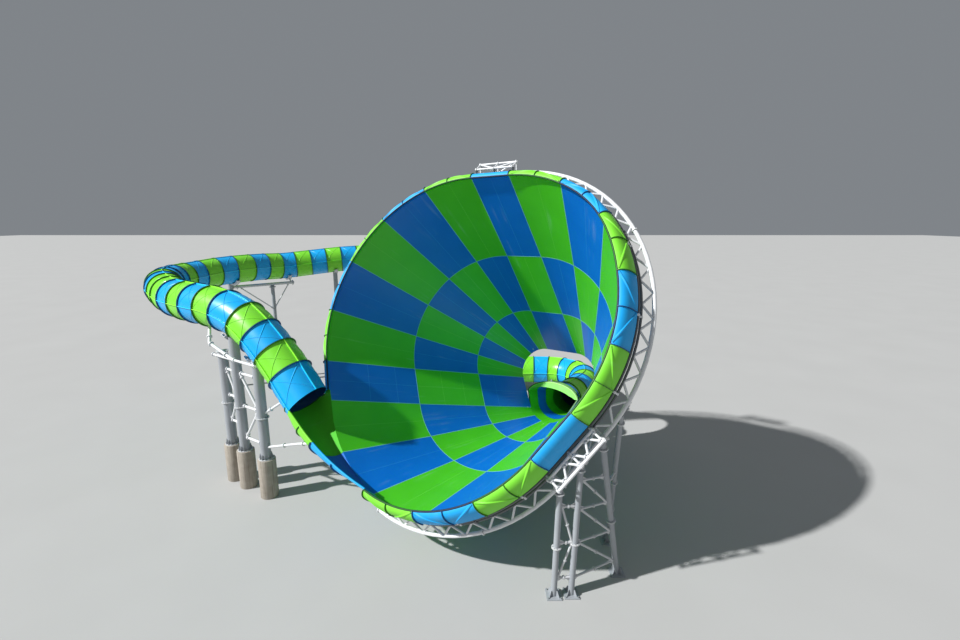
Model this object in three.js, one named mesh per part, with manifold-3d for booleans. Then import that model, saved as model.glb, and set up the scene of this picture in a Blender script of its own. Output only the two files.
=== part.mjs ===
// Funnel water slide of glass-fibre shells on a steel ring truss, legs and columns.
// Millimetres, +Z up, ground at z = 0, origin under the middle of the whole slide.
import * as THREE from 'three';
import { mergeVertices } from 'three/addons/utils/BufferGeometryUtils.js';
import Module from 'manifold-3d';

const wasm = await Module();
wasm.setup();

// Funnel: a rounded triangle in section, three flat strips and three arcs of 120 degrees
const MOUTH_RADIUS = 8000;
const STRIP_WIDTH = 2534;
const ROW_RADII = [MOUTH_RADIUS, 5728, 3553, 1723];
const ROW_DEPTHS = [0, 5622, 10581, 14696];
const SHELL_WALL = 50;
const CELL_ANGLE = 24;
const FACETS_PER_ARC = 10;
const MOUTH_CENTRE = [-1650, 24780, 11290];
const MOUTH_TILT = 28;
const MOUTH_TURN = 35.1;
const MOUTH_ROLL = 1.06;

// Rim lip: a rolled channel that stands in front of the mouth and curls back outside it. It is low at the
// left and the top, and rises over the upper right to its full height
const LIP_EDGE_RADIUS = 7760;
const LIP_EDGE_DEPTH = 850;
const LIP_LOW_DEPTH = 150;
const LIP_RISE_COLUMNS = [26, 30];
const LIP_BACK_RADIUS = 8300;
const LIP_NOSE_RADII = [8190, 8240];
const LIP_NOSE_RISE = 35;
const LIP_NOSE_STEPS = 4;
const LIP_WALL = 45;

// Ring truss: twin inner chords at the back of the lip, one outer chord, zigzag web
const INNER_CHORDS = [[8345, -330], [8400, -600]];
const INNER_CHORD_RADIUS = 60;
const OUTER_CHORD = [8870, -950];
const OUTER_CHORD_RADIUS = 100;
const WEB_RADIUS = 55;
const WEB_PITCH = 8;
const WEB_END_ANGLE = 0.8;
const BOX_CHORDS = [[8800, -1680], [8230, -1300], [8540, -300], [9150, -400]];
const BOX_OVERHANG = 0.1;

// Slide tubes
const TUBE_RADIUS = 1250;
const TUBE_WALL = 45;
const TUBE_SIDES = 12;
const TUBE_STEP = 1150;

// Steelwork
const COLUMN_RADIUS = 300;
const LEG_RADIUS = 140;
const STRUT_RADIUS = 75;
const BRACE_RADIUS = 55;
const PLINTH_SIZE = 1250;
const PLINTH_TOP = 2500;
const BASE_PLATE = 700;
const BASE_PLATE_THICK = 40;

const FOOT_DEPTH = 200;

const GAP = 0.3;
const SITE_SHIFT = [8240, -36758];

const bluePanel = { color: 0x1690d8, roughness: 0.3, metalness: 0 };
const greenPanel = { color: 0x5fc52a, roughness: 0.3, metalness: 0 };
const whiteSteel = { color: 0xdcdfe2, roughness: 0.45, metalness: 0.2 };
const greySteel = { color: 0x8b9197, roughness: 0.5, metalness: 0.2 };
const concrete = { color: 0xa89f90, roughness: 0.9, metalness: 0 };

const vec = (x, y, z) => new THREE.Vector3(x, y, z);
const radians = THREE.MathUtils.degToRad;

const site = new THREE.Group();
site.position.set(SITE_SHIFT[0], SITE_SHIFT[1], 0);
const funnel = new THREE.Group();
site.add(funnel);

// The funnel's own frame: x to the right across the mouth, y up it, z out of it
function placeFunnel() {
  const tilt = radians(MOUTH_TILT);
  const turn = radians(MOUTH_TURN);
  const out = vec(-Math.cos(tilt) * Math.sin(turn), -Math.cos(tilt) * Math.cos(turn), Math.sin(tilt));
  const right = vec(Math.cos(turn), -Math.sin(turn), 0);
  right.applyAxisAngle(out, radians(MOUTH_ROLL));
  const up = new THREE.Vector3().crossVectors(out, right);
  funnel.quaternion.setFromRotationMatrix(new THREE.Matrix4().makeBasis(right, up, out));
  funnel.position.fromArray(MOUTH_CENTRE);
  funnel.updateMatrix();
}
placeFunnel();
const toSite = (p) => p.clone().applyMatrix4(funnel.matrix);
const toFunnel = (p) => p.clone().applyMatrix4(funnel.matrix.clone().invert());

function addPiece(name, look, geometry, parent = site) {
  const mesh = new THREE.Mesh(geometry, new THREE.MeshStandardMaterial(look));
  mesh.name = name;
  parent.add(mesh);
}

// A closed mesh of points and triangles, with its faces turned outwards
function closedGeometry(points, triangles) {
  let volume = 0;
  for (const [a, b, c] of triangles) {
    volume += points[a].dot(new THREE.Vector3().crossVectors(points[b], points[c]));
  }
  const index = triangles.flatMap(([a, b, c]) => (volume < 0 ? [a, c, b] : [a, b, c]));
  const geometry = new THREE.BufferGeometry();
  geometry.setAttribute('position', new THREE.Float32BufferAttribute(points.flatMap((p) => p.toArray()), 3));
  geometry.setIndex(index);
  return geometry;
}

// A solid lofted through like loops of points, from the first loop to the last
function loft(loops) {
  const count = loops[0].length;
  const points = loops.flat();
  const triangles = [];
  for (let i = 0; i + 1 < loops.length; i++) {
    for (let j = 0; j < count; j++) {
      const a = i * count + j;
      const b = i * count + ((j + 1) % count);
      triangles.push([a, b, b + count], [a, b + count, a + count]);
    }
  }
  const last = (loops.length - 1) * count;
  for (const [a, b, c] of capTriangles(loops[0])) {
    triangles.push([c, b, a]);
  }
  for (const [a, b, c] of capTriangles(loops[loops.length - 1])) {
    triangles.push([last + a, last + b, last + c]);
  }
  return closedGeometry(points, triangles);
}

// The flat end of a loft, cut into triangles in its own plane
function capTriangles(loop) {
  const normal = new THREE.Vector3();
  loop.forEach((p, i) => normal.add(new THREE.Vector3().crossVectors(p, loop[(i + 1) % loop.length])));
  normal.normalize();
  const across = loop[1].clone().sub(loop[0]).normalize();
  const along = new THREE.Vector3().crossVectors(normal, across);
  const flat = loop.map((p) => new THREE.Vector2(p.dot(across), p.dot(along)));
  return THREE.ShapeUtils.triangulateShape(flat, []);
}

// Solids for joining and cutting
function solid(geometry) {
  const bare = geometry.clone();
  bare.deleteAttribute('normal');
  bare.deleteAttribute('uv');
  const merged = mergeVertices(bare, 0.01);
  return new wasm.Manifold(new wasm.Mesh({
    numProp: 3,
    vertProperties: new Float32Array(merged.attributes.position.array),
    triVerts: new Uint32Array(merged.index.array),
  }));
}

function geometryOf(shape) {
  const mesh = shape.getMesh();
  const geometry = new THREE.BufferGeometry();
  geometry.setAttribute('position', new THREE.Float32BufferAttribute(mesh.vertProperties, 3));
  geometry.setIndex(Array.from(mesh.triVerts));
  return geometry;
}

function bar(from, to, radius, sides = 6) {
  const length = from.distanceTo(to);
  const geometry = new THREE.CylinderGeometry(radius, radius, length, sides);
  const turn = new THREE.Quaternion().setFromUnitVectors(vec(0, 1, 0), to.clone().sub(from).normalize());
  geometry.applyQuaternion(turn);
  geometry.translate(...from.clone().add(to).multiplyScalar(0.5).toArray());
  return solid(geometry);
}

function block(centre, size) {
  const geometry = new THREE.BoxGeometry(...size);
  geometry.translate(...centre);
  return solid(geometry);
}

// Shapes joined into one body, cut back from its neighbours; loose slivers of the cut are dropped
function join(shapes, cutters = []) {
  const whole = shapes.slice(1).reduce((sum, shape) => sum.add(shape), shapes[0]);
  const cut = cutters.reduce((sum, shape) => sum.subtract(shape), whole);
  return cut.decompose().reduce((big, shape) => (shape.volume() > big.volume() ? shape : big));
}

const BELOW_GROUND = block([0, 36000, -2500], [80000, 80000, 5000]);

// Points round the funnel's section: each arc has its own centre, the strips join the arcs
const ARCS = [
  { start: 90, centre: 150 },
  { start: 210, centre: 270 },
  { start: 330, centre: 30 },
];
const PER_ARC = FACETS_PER_ARC + 1;
const ALL_COLUMNS = PER_ARC * ARCS.length;

function sectionPoint(arc, angle, radius, depth) {
  const offset = STRIP_WIDTH / Math.sqrt(3);
  const centre = radians(ARCS[arc].centre);
  const turn = radians(angle);
  return vec(
    offset * Math.cos(centre) + radius * Math.cos(turn),
    offset * Math.sin(centre) + radius * Math.sin(turn),
    depth,
  );
}

function columnPoint(column, radius, depth) {
  const arc = Math.floor(column / PER_ARC) % ARCS.length;
  const angle = ARCS[arc].start + (column % PER_ARC) * (CELL_ANGLE * 5 / FACETS_PER_ARC);
  return sectionPoint(arc, angle, radius, depth);
}

// Profiles of (radius, depth) points, one for each column from the first, joined round the section
function profiledSolid(profiles, first) {
  const loops = profiles.map((profile, i) => (
    profile.map(([radius, depth]) => columnPoint(first + i, radius, depth))
  ));
  const shortenBy = (loop, inner, gap) => loop.forEach((p, i) => {
    p.add(inner[i].clone().sub(p).normalize().multiplyScalar(gap));
  });
  shortenBy(loops[0], loops[1], GAP);
  shortenBy(loops[loops.length - 1], loops[loops.length - 2], GAP);
  return loft(loops);
}

// A profile of (radius, depth) points carried round the section from one column to another
function roundSolid(profile, first, last) {
  return profiledSolid(Array(last - first + 1).fill(profile), first);
}

// Funnel shell: three rows of cells, each split into segments at cell joints
const ROW_SPLITS = {
  mouth_row: [
    ['top_left', 0, 6], ['left', 6, 11], ['lower_left', 11, 17],
    ['bottom', 17, 22], ['right', 22, 28], ['top', 28, 33],
  ],
  middle_row: [['left', 0, 11], ['bottom', 11, 22], ['right', 22, 33]],
  throat_row: [['left', 0, 11], ['bottom', 11, 22], ['right', 22, 33]],
};

function addFunnelRows() {
  Object.entries(ROW_SPLITS).forEach(([row, segments], k) => {
    const profile = [
      [ROW_RADII[k], -ROW_DEPTHS[k] - GAP],
      [ROW_RADII[k] + SHELL_WALL, -ROW_DEPTHS[k] - GAP],
      [ROW_RADII[k + 1] + SHELL_WALL, -ROW_DEPTHS[k + 1] + GAP],
      [ROW_RADII[k + 1], -ROW_DEPTHS[k + 1] + GAP],
    ];
    segments.forEach(([place, first, last], i) => {
      const look = (i + k) % 2 ? greenPanel : bluePanel;
      addPiece(`${row}_${place}`, look, roundSolid(profile, first, last), funnel);
    });
  });
}

// Slide tubes: hollow rounds carried along a route, cut into lengths at flange joints
class Stretch extends THREE.Curve {
  constructor(route, from, to) {
    super();
    this.route = route;
    this.from = from;
    this.to = to;
  }

  getPoint(t, target = new THREE.Vector3()) {
    return this.route.getPointAt(THREE.MathUtils.lerp(this.from, this.to, t), target);
  }

  getTangent(t, target = new THREE.Vector3()) {
    return this.route.getTangentAt(THREE.MathUtils.lerp(this.from, this.to, t), target);
  }
}

function ringShape(outer, inner) {
  const shape = new THREE.Shape();
  const corners = (radius) => Array.from({ length: TUBE_SIDES }, (_, i) => {
    const turn = (i + 0.5) * 2 * Math.PI / TUBE_SIDES;
    return new THREE.Vector2(radius * Math.cos(turn), radius * Math.sin(turn));
  });
  shape.setFromPoints(corners(outer));
  if (inner) {
    shape.holes.push(new THREE.Path(corners(inner)));
  }
  return shape;
}

function tubeStretch(route, from, to, outer, inner) {
  const length = route.getLength();
  const stretch = new Stretch(route, from + GAP / length, to - GAP / length);
  const steps = Math.max(1, Math.round((to - from) * length / TUBE_STEP));
  return new THREE.ExtrudeGeometry(ringShape(outer, inner), {
    steps, bevelEnabled: false, extrudePath: stretch,
  });
}

// Inlet route, from the hidden upper end round to the mouth of the funnel
const INLET_ROUTE = new THREE.CatmullRomCurve3([
  [-12300, 54200, 12520], [-14910, 53250, 12420], [-16890, 52500, 12250], [-18780, 51640, 12060],
  [-20700, 50500, 11900], [-22100, 48850, 11950], [-23350, 47000, 11950], [-24700, 45250, 11850],
  [-25850, 42900, 11650], [-25950, 40300, 11620], [-24900, 37600, 11600], [-23000, 35000, 11560],
  [-20750, 32600, 11420], [-18300, 30750, 11380], [-16100, 29450, 11260], [-14350, 28450, 10820],
  [-12900, 27650, 9850], [-11210, 26660, 8200], [-9880, 25760, 6690],
].map((p) => vec(...p)), false, 'centripetal');
const INLET_NAMES = ['start', 'far', 'bend_back', 'loop_back', 'loop_front', 'drop', 'end'];

const EXIT_ROUTE = new THREE.CatmullRomCurve3([
  [7050, 37100, 2450], [8300, 38900, 2370], [9400, 41100, 2280], [9350, 43500, 2190],
  [7750, 45250, 2100], [5100, 45900, 2010], [2200, 45750, 1930], [-600, 45300, 1850],
].map((p) => vec(...p)), false, 'centripetal');
const EXIT_NAMES = ['first', 'bend', 'last'];

function addTube(route, prefix, names) {
  names.forEach((name, i) => {
    const geometry = tubeStretch(
      route, i / names.length, (i + 1) / names.length, TUBE_RADIUS, TUBE_RADIUS - TUBE_WALL,
    );
    addPiece(`${prefix}_${name}`, i % 2 ? greenPanel : bluePanel, geometry);
  });
}

// The tube's lengths as full rounds, a little larger, to cut what meets them
function tubeCutters(route, names) {
  const spare = 2 * GAP / route.getLength();
  return names.map((_, i) => {
    const from = Math.max(0, i / names.length - spare);
    const to = Math.min(1, (i + 1) / names.length + spare);
    return solid(tubeStretch(route, from, to, TUBE_RADIUS + 2 * GAP, 0));
  });
}

// Entry chute: starts as the open lower side of the tube and flattens into the rim
const CHUTE_ANGLES = [210, 258];
const CHUTE_STEPS = 5;
const CHUTE_SPREAD = [-117, 60];
const CHUTE_POINTS = 9;
const CHUTE_FRONT_DEPTH = 2350;
const CHUTE_FLARE = 1400;
const CHUTE_RIM_SHARE = 0.8;
const CHUTE_BULGE = TUBE_RADIUS + 250;
const CHUTE_BULGE_FADE = 1.3;

function chuteSection(share, thick) {
  const angle = THREE.MathUtils.lerp(...CHUTE_ANGLES, share);
  const bulge = CHUTE_BULGE * Math.pow(1 - share, CHUTE_BULGE_FADE);
  const front = THREE.MathUtils.lerp(CHUTE_FRONT_DEPTH, LIP_EDGE_DEPTH, share);
  const frontRadius = LIP_EDGE_RADIUS + CHUTE_FLARE * (1 - share) ** 2;
  return Array.from({ length: CHUTE_POINTS }, (_, i) => {
    const sweep = Math.PI * i / (CHUTE_POINTS - 1);
    const across = (1 - Math.cos(sweep)) / 2;
    const radius = THREE.MathUtils.lerp(MOUTH_RADIUS, frontRadius, across) + bulge * Math.sin(sweep);
    const depth = THREE.MathUtils.lerp(0, front, across);
    return sectionPoint(1, angle, radius + thick, depth + GAP * 2);
  });
}

// The chute's section at the tube: from the rim, round the outer side of the tube's end
function tubeEndSection(radius, thick) {
  const centre = INLET_ROUTE.getPointAt(1);
  const heading = INLET_ROUTE.getTangentAt(1);
  const inward = toSite(sectionPoint(1, CHUTE_ANGLES[0], 0, 0)).sub(centre);
  inward.addScaledVector(heading, -inward.dot(heading)).normalize();
  const forward = new THREE.Vector3().crossVectors(heading, inward).normalize();
  const out = vec(0, 0, 1).transformDirection(funnel.matrix);
  if (forward.dot(out) < 0) {
    forward.negate();
  }
  const [rim, strip] = [PER_ARC, PER_ARC - 1].map((column) => (
    columnPoint(column, MOUTH_RADIUS + thick, GAP * 2)
  ));
  return Array.from({ length: CHUTE_POINTS }, (_, i) => {
    if (i === 0) {
      return strip.lerp(rim, CHUTE_RIM_SHARE);
    }
    const swing = radians(THREE.MathUtils.lerp(...CHUTE_SPREAD, i / (CHUTE_POINTS - 1)));
    const p = centre.clone().addScaledVector(heading, GAP);
    p.addScaledVector(inward, -radius * Math.cos(swing));
    p.addScaledVector(forward, radius * Math.sin(swing));
    return toFunnel(p);
  });
}

function chuteShape() {
  const loops = [[
    ...tubeEndSection(TUBE_RADIUS, SHELL_WALL), ...tubeEndSection(TUBE_RADIUS - TUBE_WALL, 0).reverse(),
  ]];
  for (let i = 1; i <= CHUTE_STEPS; i++) {
    const share = i / CHUTE_STEPS;
    loops.push([...chuteSection(share, SHELL_WALL), ...chuteSection(share, 0).reverse()]);
  }
  return loft(loops);
}

// Rim lip in segments, cut round the end of the tube
const LIP_SPLITS = [['bottom', 15, 22], ['right', 22, 33], ['left', 33, 44]];
const LIP_CLEARANCE = 60;
const LIP_CUT_REACH = [-3000, 900];
const LIP_END_CUT = { radius: 700, reach: [-100, 900], sides: 12 };

// The curl of the lip from its edge, over the nose, to its back, as (radius, depth) points
function lipCurl(edge, nose, back) {
  return Array.from({ length: LIP_NOSE_STEPS + 1 }, (_, i) => {
    const t = i / LIP_NOSE_STEPS;
    return edge.map((from, k) => (
      from * (1 - t) ** 2 + nose[k] * 2 * t * (1 - t) + back[k] * t ** 2
    ));
  });
}

function lipProfile(column) {
  const fall = THREE.MathUtils.smoothstep(column, ...LIP_RISE_COLUMNS);
  const depth = THREE.MathUtils.lerp(LIP_EDGE_DEPTH, LIP_LOW_DEPTH, fall);
  const radius = MOUTH_RADIUS - (MOUTH_RADIUS - LIP_EDGE_RADIUS) * depth / LIP_EDGE_DEPTH;
  const nose = [THREE.MathUtils.lerp(...LIP_NOSE_RADII, fall), depth + LIP_NOSE_RISE];
  const outer = lipCurl(
    [radius + LIP_WALL, depth + LIP_WALL],
    [nose[0] + LIP_WALL, nose[1] + LIP_WALL],
    [LIP_BACK_RADIUS + LIP_WALL * 2, -LIP_WALL],
  );
  const inner = lipCurl(
    [radius + LIP_WALL * 1.5, depth - LIP_WALL * 1.5],
    [nose[0] - LIP_WALL, nose[1] - LIP_WALL],
    [LIP_BACK_RADIUS, -LIP_WALL],
  );
  return [
    [MOUTH_RADIUS, GAP * 2],
    [radius, depth],
    ...outer,
    ...inner.reverse(),
    [MOUTH_RADIUS + LIP_WALL, GAP * 2],
  ];
}

function addLip() {
  const end = INLET_ROUTE.getPointAt(1);
  const heading = INLET_ROUTE.getTangentAt(1);
  const [from, to] = LIP_CUT_REACH.map((reach) => toFunnel(end.clone().addScaledVector(heading, reach)));
  const tube = bar(from, to, TUBE_RADIUS + LIP_CLEARANCE, TUBE_SIDES);
  const [behind, ahead] = LIP_END_CUT.reach.map((depth) => columnPoint(PER_ARC, MOUTH_RADIUS, depth));
  const corner = bar(behind, ahead, LIP_END_CUT.radius, LIP_END_CUT.sides);
  LIP_SPLITS.forEach(([place, first, last], i) => {
    const profiles = Array.from({ length: last - first + 1 }, (_, k) => lipProfile(first + k));
    const cutters = place === 'left' ? [tube, corner] : [];
    const shape = join([solid(profiledSolid(profiles, first))], cutters);
    addPiece(`rim_lip_${place}`, i % 2 ? greenPanel : bluePanel, geometryOf(shape), funnel);
  });
}

// Ring truss: chords carried round the section, with a zigzag web of straight bars
function roundBar([radius, depth], size, first, last, extra = 0) {
  const profile = Array.from({ length: 6 }, (_, i) => {
    const turn = i * Math.PI / 3;
    return [radius + (size + extra) * Math.cos(turn), depth + (size + extra) * Math.sin(turn)];
  });
  return solid(roundSolid(profile, first, last));
}

function webPoints(arc, chord, shift) {
  const count = Math.round(120 / WEB_PITCH);
  const angles = Array.from({ length: count + 1 - (shift ? 1 : 0) }, (_, i) => (i + shift) * WEB_PITCH);
  return angles.map((angle) => {
    const held = THREE.MathUtils.clamp(angle, WEB_END_ANGLE, 120 - WEB_END_ANGLE);
    return sectionPoint(arc, ARCS[arc].start + held, chord[0], chord[1]);
  });
}

function webBars(arc, fromAngle, toAngle) {
  const bars = [];
  const inner = webPoints(arc, INNER_CHORDS[1], 0);
  const outer = webPoints(arc, OUTER_CHORD, 0.5);
  outer.forEach((p, i) => {
    const angle = (i + 0.5) * WEB_PITCH;
    if (angle > fromAngle && angle < toAngle) {
      bars.push(bar(inner[i], p, WEB_RADIUS, 4), bar(p, inner[i + 1], WEB_RADIUS, 4));
    }
  });
  return bars;
}

function stubs(columns) {
  return columns.flatMap((column) => {
    const [near, far] = INNER_CHORDS.map((chord) => columnPoint(column, ...chord));
    const face = columnPoint(column, LIP_BACK_RADIUS + LIP_WALL, -LIP_WALL - GAP);
    return [
      bar(far, near, INNER_CHORD_RADIUS * 0.8),
      bar(near, face, INNER_CHORD_RADIUS * 0.6, 4),
    ];
  });
}

const TRUSS_SPLITS = [
  ['bottom', 1, 15, 22, 48, 120],
  ['right', 2, 22, 33, 0, 120],
  ['top_left', 0, 33, 43, 0, 112],
];

function chordShapes(first, last, extra = 0) {
  return [
    ...INNER_CHORDS.map((chord) => roundBar(chord, INNER_CHORD_RADIUS, first, last, extra)),
    roundBar(OUTER_CHORD, OUTER_CHORD_RADIUS, first, last, extra),
  ];
}

function addRingTruss() {
  TRUSS_SPLITS.forEach(([place, arc, first, last, fromAngle, toAngle]) => {
    const columns = [];
    for (let column = first + 1; column < last; column += 2) {
      columns.push(column);
    }
    const shape = join([...chordShapes(first, last), ...webBars(arc, fromAngle, toAngle), ...stubs(columns)]);
    addPiece(`ring_truss_${place}`, whiteSteel, geometryOf(shape), funnel);
  });
}

// Points on a strip: along it from -1 to 1, out from its arcs' centres, and back from the mouth
function stripPoint(arc, along, radius, depth) {
  const next = (arc + 1) % ARCS.length;
  const normal = ARCS[next].start;
  const from = sectionPoint(arc, normal, radius, depth);
  const to = sectionPoint(next, normal, radius, depth);
  return from.lerp(to, (along + 1) / 2);
}

// Box frame on the lower right strip, from which the tower hangs its legs
const FRAME_STRIP = 1;
const FRAME_COLUMNS = [19, 25];
const LEG_STATIONS = [-1.25, -0.15, 0.93];
const FRONT_WEB_STEPS = 3;

function boxFrameBars(extra = 0) {
  const [left, middle, right] = LEG_STATIONS;
  const at = (along, corner) => stripPoint(FRAME_STRIP, along, corner[0], corner[1]);
  const [low, back, frontIn, frontOut] = BOX_CHORDS;
  const brace = (from, to) => bar(from, to, BRACE_RADIUS + extra, 4);
  const bars = BOX_CHORDS.map((chord) => (
    bar(at(left - BOX_OVERHANG, chord), at(right + BOX_OVERHANG, chord), BRACE_RADIUS * 1.3 + extra)
  ));
  LEG_STATIONS.forEach((along) => {
    bars.push(brace(at(along, low), at(along, back)));
    bars.push(brace(at(along, low), at(along, OUTER_CHORD)));
    bars.push(brace(at(along, back), at(along, INNER_CHORDS[1])));
    bars.push(brace(at(along, frontIn), at(along, frontOut)));
    bars.push(brace(at(along, frontIn), at(along, INNER_CHORDS[0])));
    bars.push(brace(at(along, frontOut), at(along, OUTER_CHORD)));
  });
  [[left, middle], [middle, right]].forEach(([a, b]) => {
    const between = (share) => a + (b - a) * share;
    bars.push(brace(at(a, low), at(b, back)));
    bars.push(brace(at(b, low), at(between(0.1), OUTER_CHORD)));
    for (let step = 0; step < FRONT_WEB_STEPS; step += 1) {
      const [from, to] = step % 2 ? [frontOut, frontIn] : [frontIn, frontOut];
      const [start, end] = [step, step + 1].map((count) => between(count / FRONT_WEB_STEPS));
      bars.push(brace(at(start, from), at(end, to)));
    }
  });
  return bars;
}

// Small truss that stands on the outer chord at the top strip
const TOP_STRIP = 2;
const TOP_COLUMNS = [30, 36];
const TOP_APEX = [9620, -950];
const TOP_BASE = [[9130, -690], [9130, -1210]];
const TOP_CENTRE = 0.38;

function topTrussBars() {
  const at = (along, corner) => stripPoint(TOP_STRIP, TOP_CENTRE + along, corner[0], corner[1]);
  const thick = BRACE_RADIUS * 0.8;
  const bars = [...TOP_BASE, TOP_APEX].map((corner) => bar(at(-1.05, corner), at(1.05, corner), thick * 1.2));
  [-1, 0, 1].forEach((along) => {
    TOP_BASE.forEach((corner) => {
      bars.push(bar(at(along, corner), at(along, TOP_APEX), thick, 4));
      bars.push(bar(at(along, corner), at(along, OUTER_CHORD), thick, 4));
    });
    bars.push(bar(at(along, TOP_BASE[0]), at(along, TOP_BASE[1]), thick, 4));
  });
  [[-1, 0], [1, 0]].forEach(([a, b]) => {
    TOP_BASE.forEach((corner) => bars.push(bar(at(b, corner), at(a, TOP_APEX), thick, 4)));
  });
  return bars;
}

// Tower: two upright legs, one raked leg and a rear strut, braced to each other
const LEG_FEET = [[3350, 18780], [4150, 18850], [6600, 20200]];
const REAR_STRUT_FOOT = [6750, 22500];
const REAR_STRUT_ANGLE = 338;
const LEG_NAMES = ['left', 'middle', 'right'];

function towerMembers() {
  const legs = LEG_FEET.map(([x, y], i) => ({
    name: `tower_leg_${LEG_NAMES[i]}`,
    foot: vec(x, y, -FOOT_DEPTH),
    top: toSite(stripPoint(FRAME_STRIP, LEG_STATIONS[i], OUTER_CHORD[0], OUTER_CHORD[1])),
    radius: LEG_RADIUS,
  }));
  legs.push({
    name: 'tower_rear_strut',
    foot: vec(...REAR_STRUT_FOOT, -FOOT_DEPTH),
    top: toSite(sectionPoint(2, REAR_STRUT_ANGLE, OUTER_CHORD[0], OUTER_CHORD[1])),
    radius: LEG_RADIUS * 0.85,
  });
  return legs;
}

function basePlate(x, y, size = BASE_PLATE) {
  return block([x, y, BASE_PLATE_THICK / 2], [size, size, BASE_PLATE_THICK]);
}

// A point on a member's axis at a height, moved to the skin that faces another member
function skinPoint(member, other, height) {
  const axis = member.top.clone().sub(member.foot);
  const p = member.foot.clone().addScaledVector(axis, (height - member.foot.z) / axis.z);
  const q = other.foot.clone().lerp(other.top, (height - other.foot.z) / (other.top.z - other.foot.z));
  return p.addScaledVector(q.sub(p).normalize(), member.radius + BRACE_RADIUS * 0.4);
}

function memberCutter(member) {
  return bar(member.foot, member.top, member.radius + GAP * 2, 12);
}

// A braced panel between two members: level struts at each height, and between them a zigzag or one slope
function bracedPanel(a, b, heights, radius = BRACE_RADIUS, zigzag = true) {
  const bars = [];
  heights.forEach((height, i) => {
    bars.push(bar(skinPoint(a, b, height), skinPoint(b, a, height), radius, 6));
    if (i > 0) {
      const [from, to] = zigzag && i % 2 ? [a, b] : [b, a];
      bars.push(bar(skinPoint(from, to, heights[i - 1]), skinPoint(to, from, height), radius, 6));
    }
  });
  return join(bars, [memberCutter(a), memberCutter(b)]);
}

const FRONT_BRACE_HEIGHTS = [900, 2700, 4500];
const RIGHT_BRACE_HEIGHTS = [850, 2650, 4300, 5700];
const REAR_BRACE_HEIGHTS = [900, 3000, 5200];

function addTower() {
  const inSite = (shape) => shape.transform(funnel.matrix.elements);
  const cutters = [...chordShapes(...FRAME_COLUMNS, GAP * 2), ...boxFrameBars(GAP * 2)].map(inSite);
  const members = towerMembers();
  const [left, middle, right, rear] = members;
  members.forEach(({ name, foot, top, radius }) => {
    const shapes = [bar(foot, top, radius, 12), basePlate(foot.x, foot.y)];
    addPiece(name, greySteel, geometryOf(join(shapes, [...cutters, BELOW_GROUND])));
  });
  addPiece('tower_bracing_front', greySteel, geometryOf(bracedPanel(left, middle, FRONT_BRACE_HEIGHTS)));
  const slopes = bracedPanel(middle, right, RIGHT_BRACE_HEIGHTS, BRACE_RADIUS, false);
  addPiece('tower_bracing_right', greySteel, geometryOf(slopes));
  addPiece('tower_bracing_rear', greySteel, geometryOf(bracedPanel(right, rear, REAR_BRACE_HEIGHTS)));
}

// Round columns on concrete plinths beside the end of the inlet tube
const TUBE_COLUMNS = [
  { name: 'a', x: -16060, y: 28870, top: 8700 },
  { name: 'b', x: -14820, y: 27980, top: 10400 },
  { name: 'c', x: -13000, y: 26840, top: 9800 },
];
const PLINTH_RADIUS = PLINTH_SIZE * 0.42;
const TIE_HEIGHT = 8500;
const TIE_OVERHANG = 500;
const ARM_FOOT = 2300;
const ARM_KNEE = [-16720, 28730, 9250];
const ARM_TOP = [-17300, 30150, 10900];
const REAR_TIE_HEIGHTS = [4200, 5900, 7600];
const FRONT_TIE_HEIGHTS = [3400, 5500, 7600];
const END_STRUT_HEIGHT = 5300;
const END_STRUT_SHARE = 0.985;
const CHUTE_STRUT_HEIGHT = 3200;
const CHUTE_STRUT_KNEE = [-10500, 25600, 4050];
const CHUTE_STRUT_TOP = { angle: 229, radius: MOUTH_RADIUS + 300, depth: 1000 };

function uprightMember({ x, y, top }, radius = COLUMN_RADIUS) {
  return { foot: vec(x, y, PLINTH_TOP + GAP), top: vec(x, y, top), radius };
}

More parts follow.
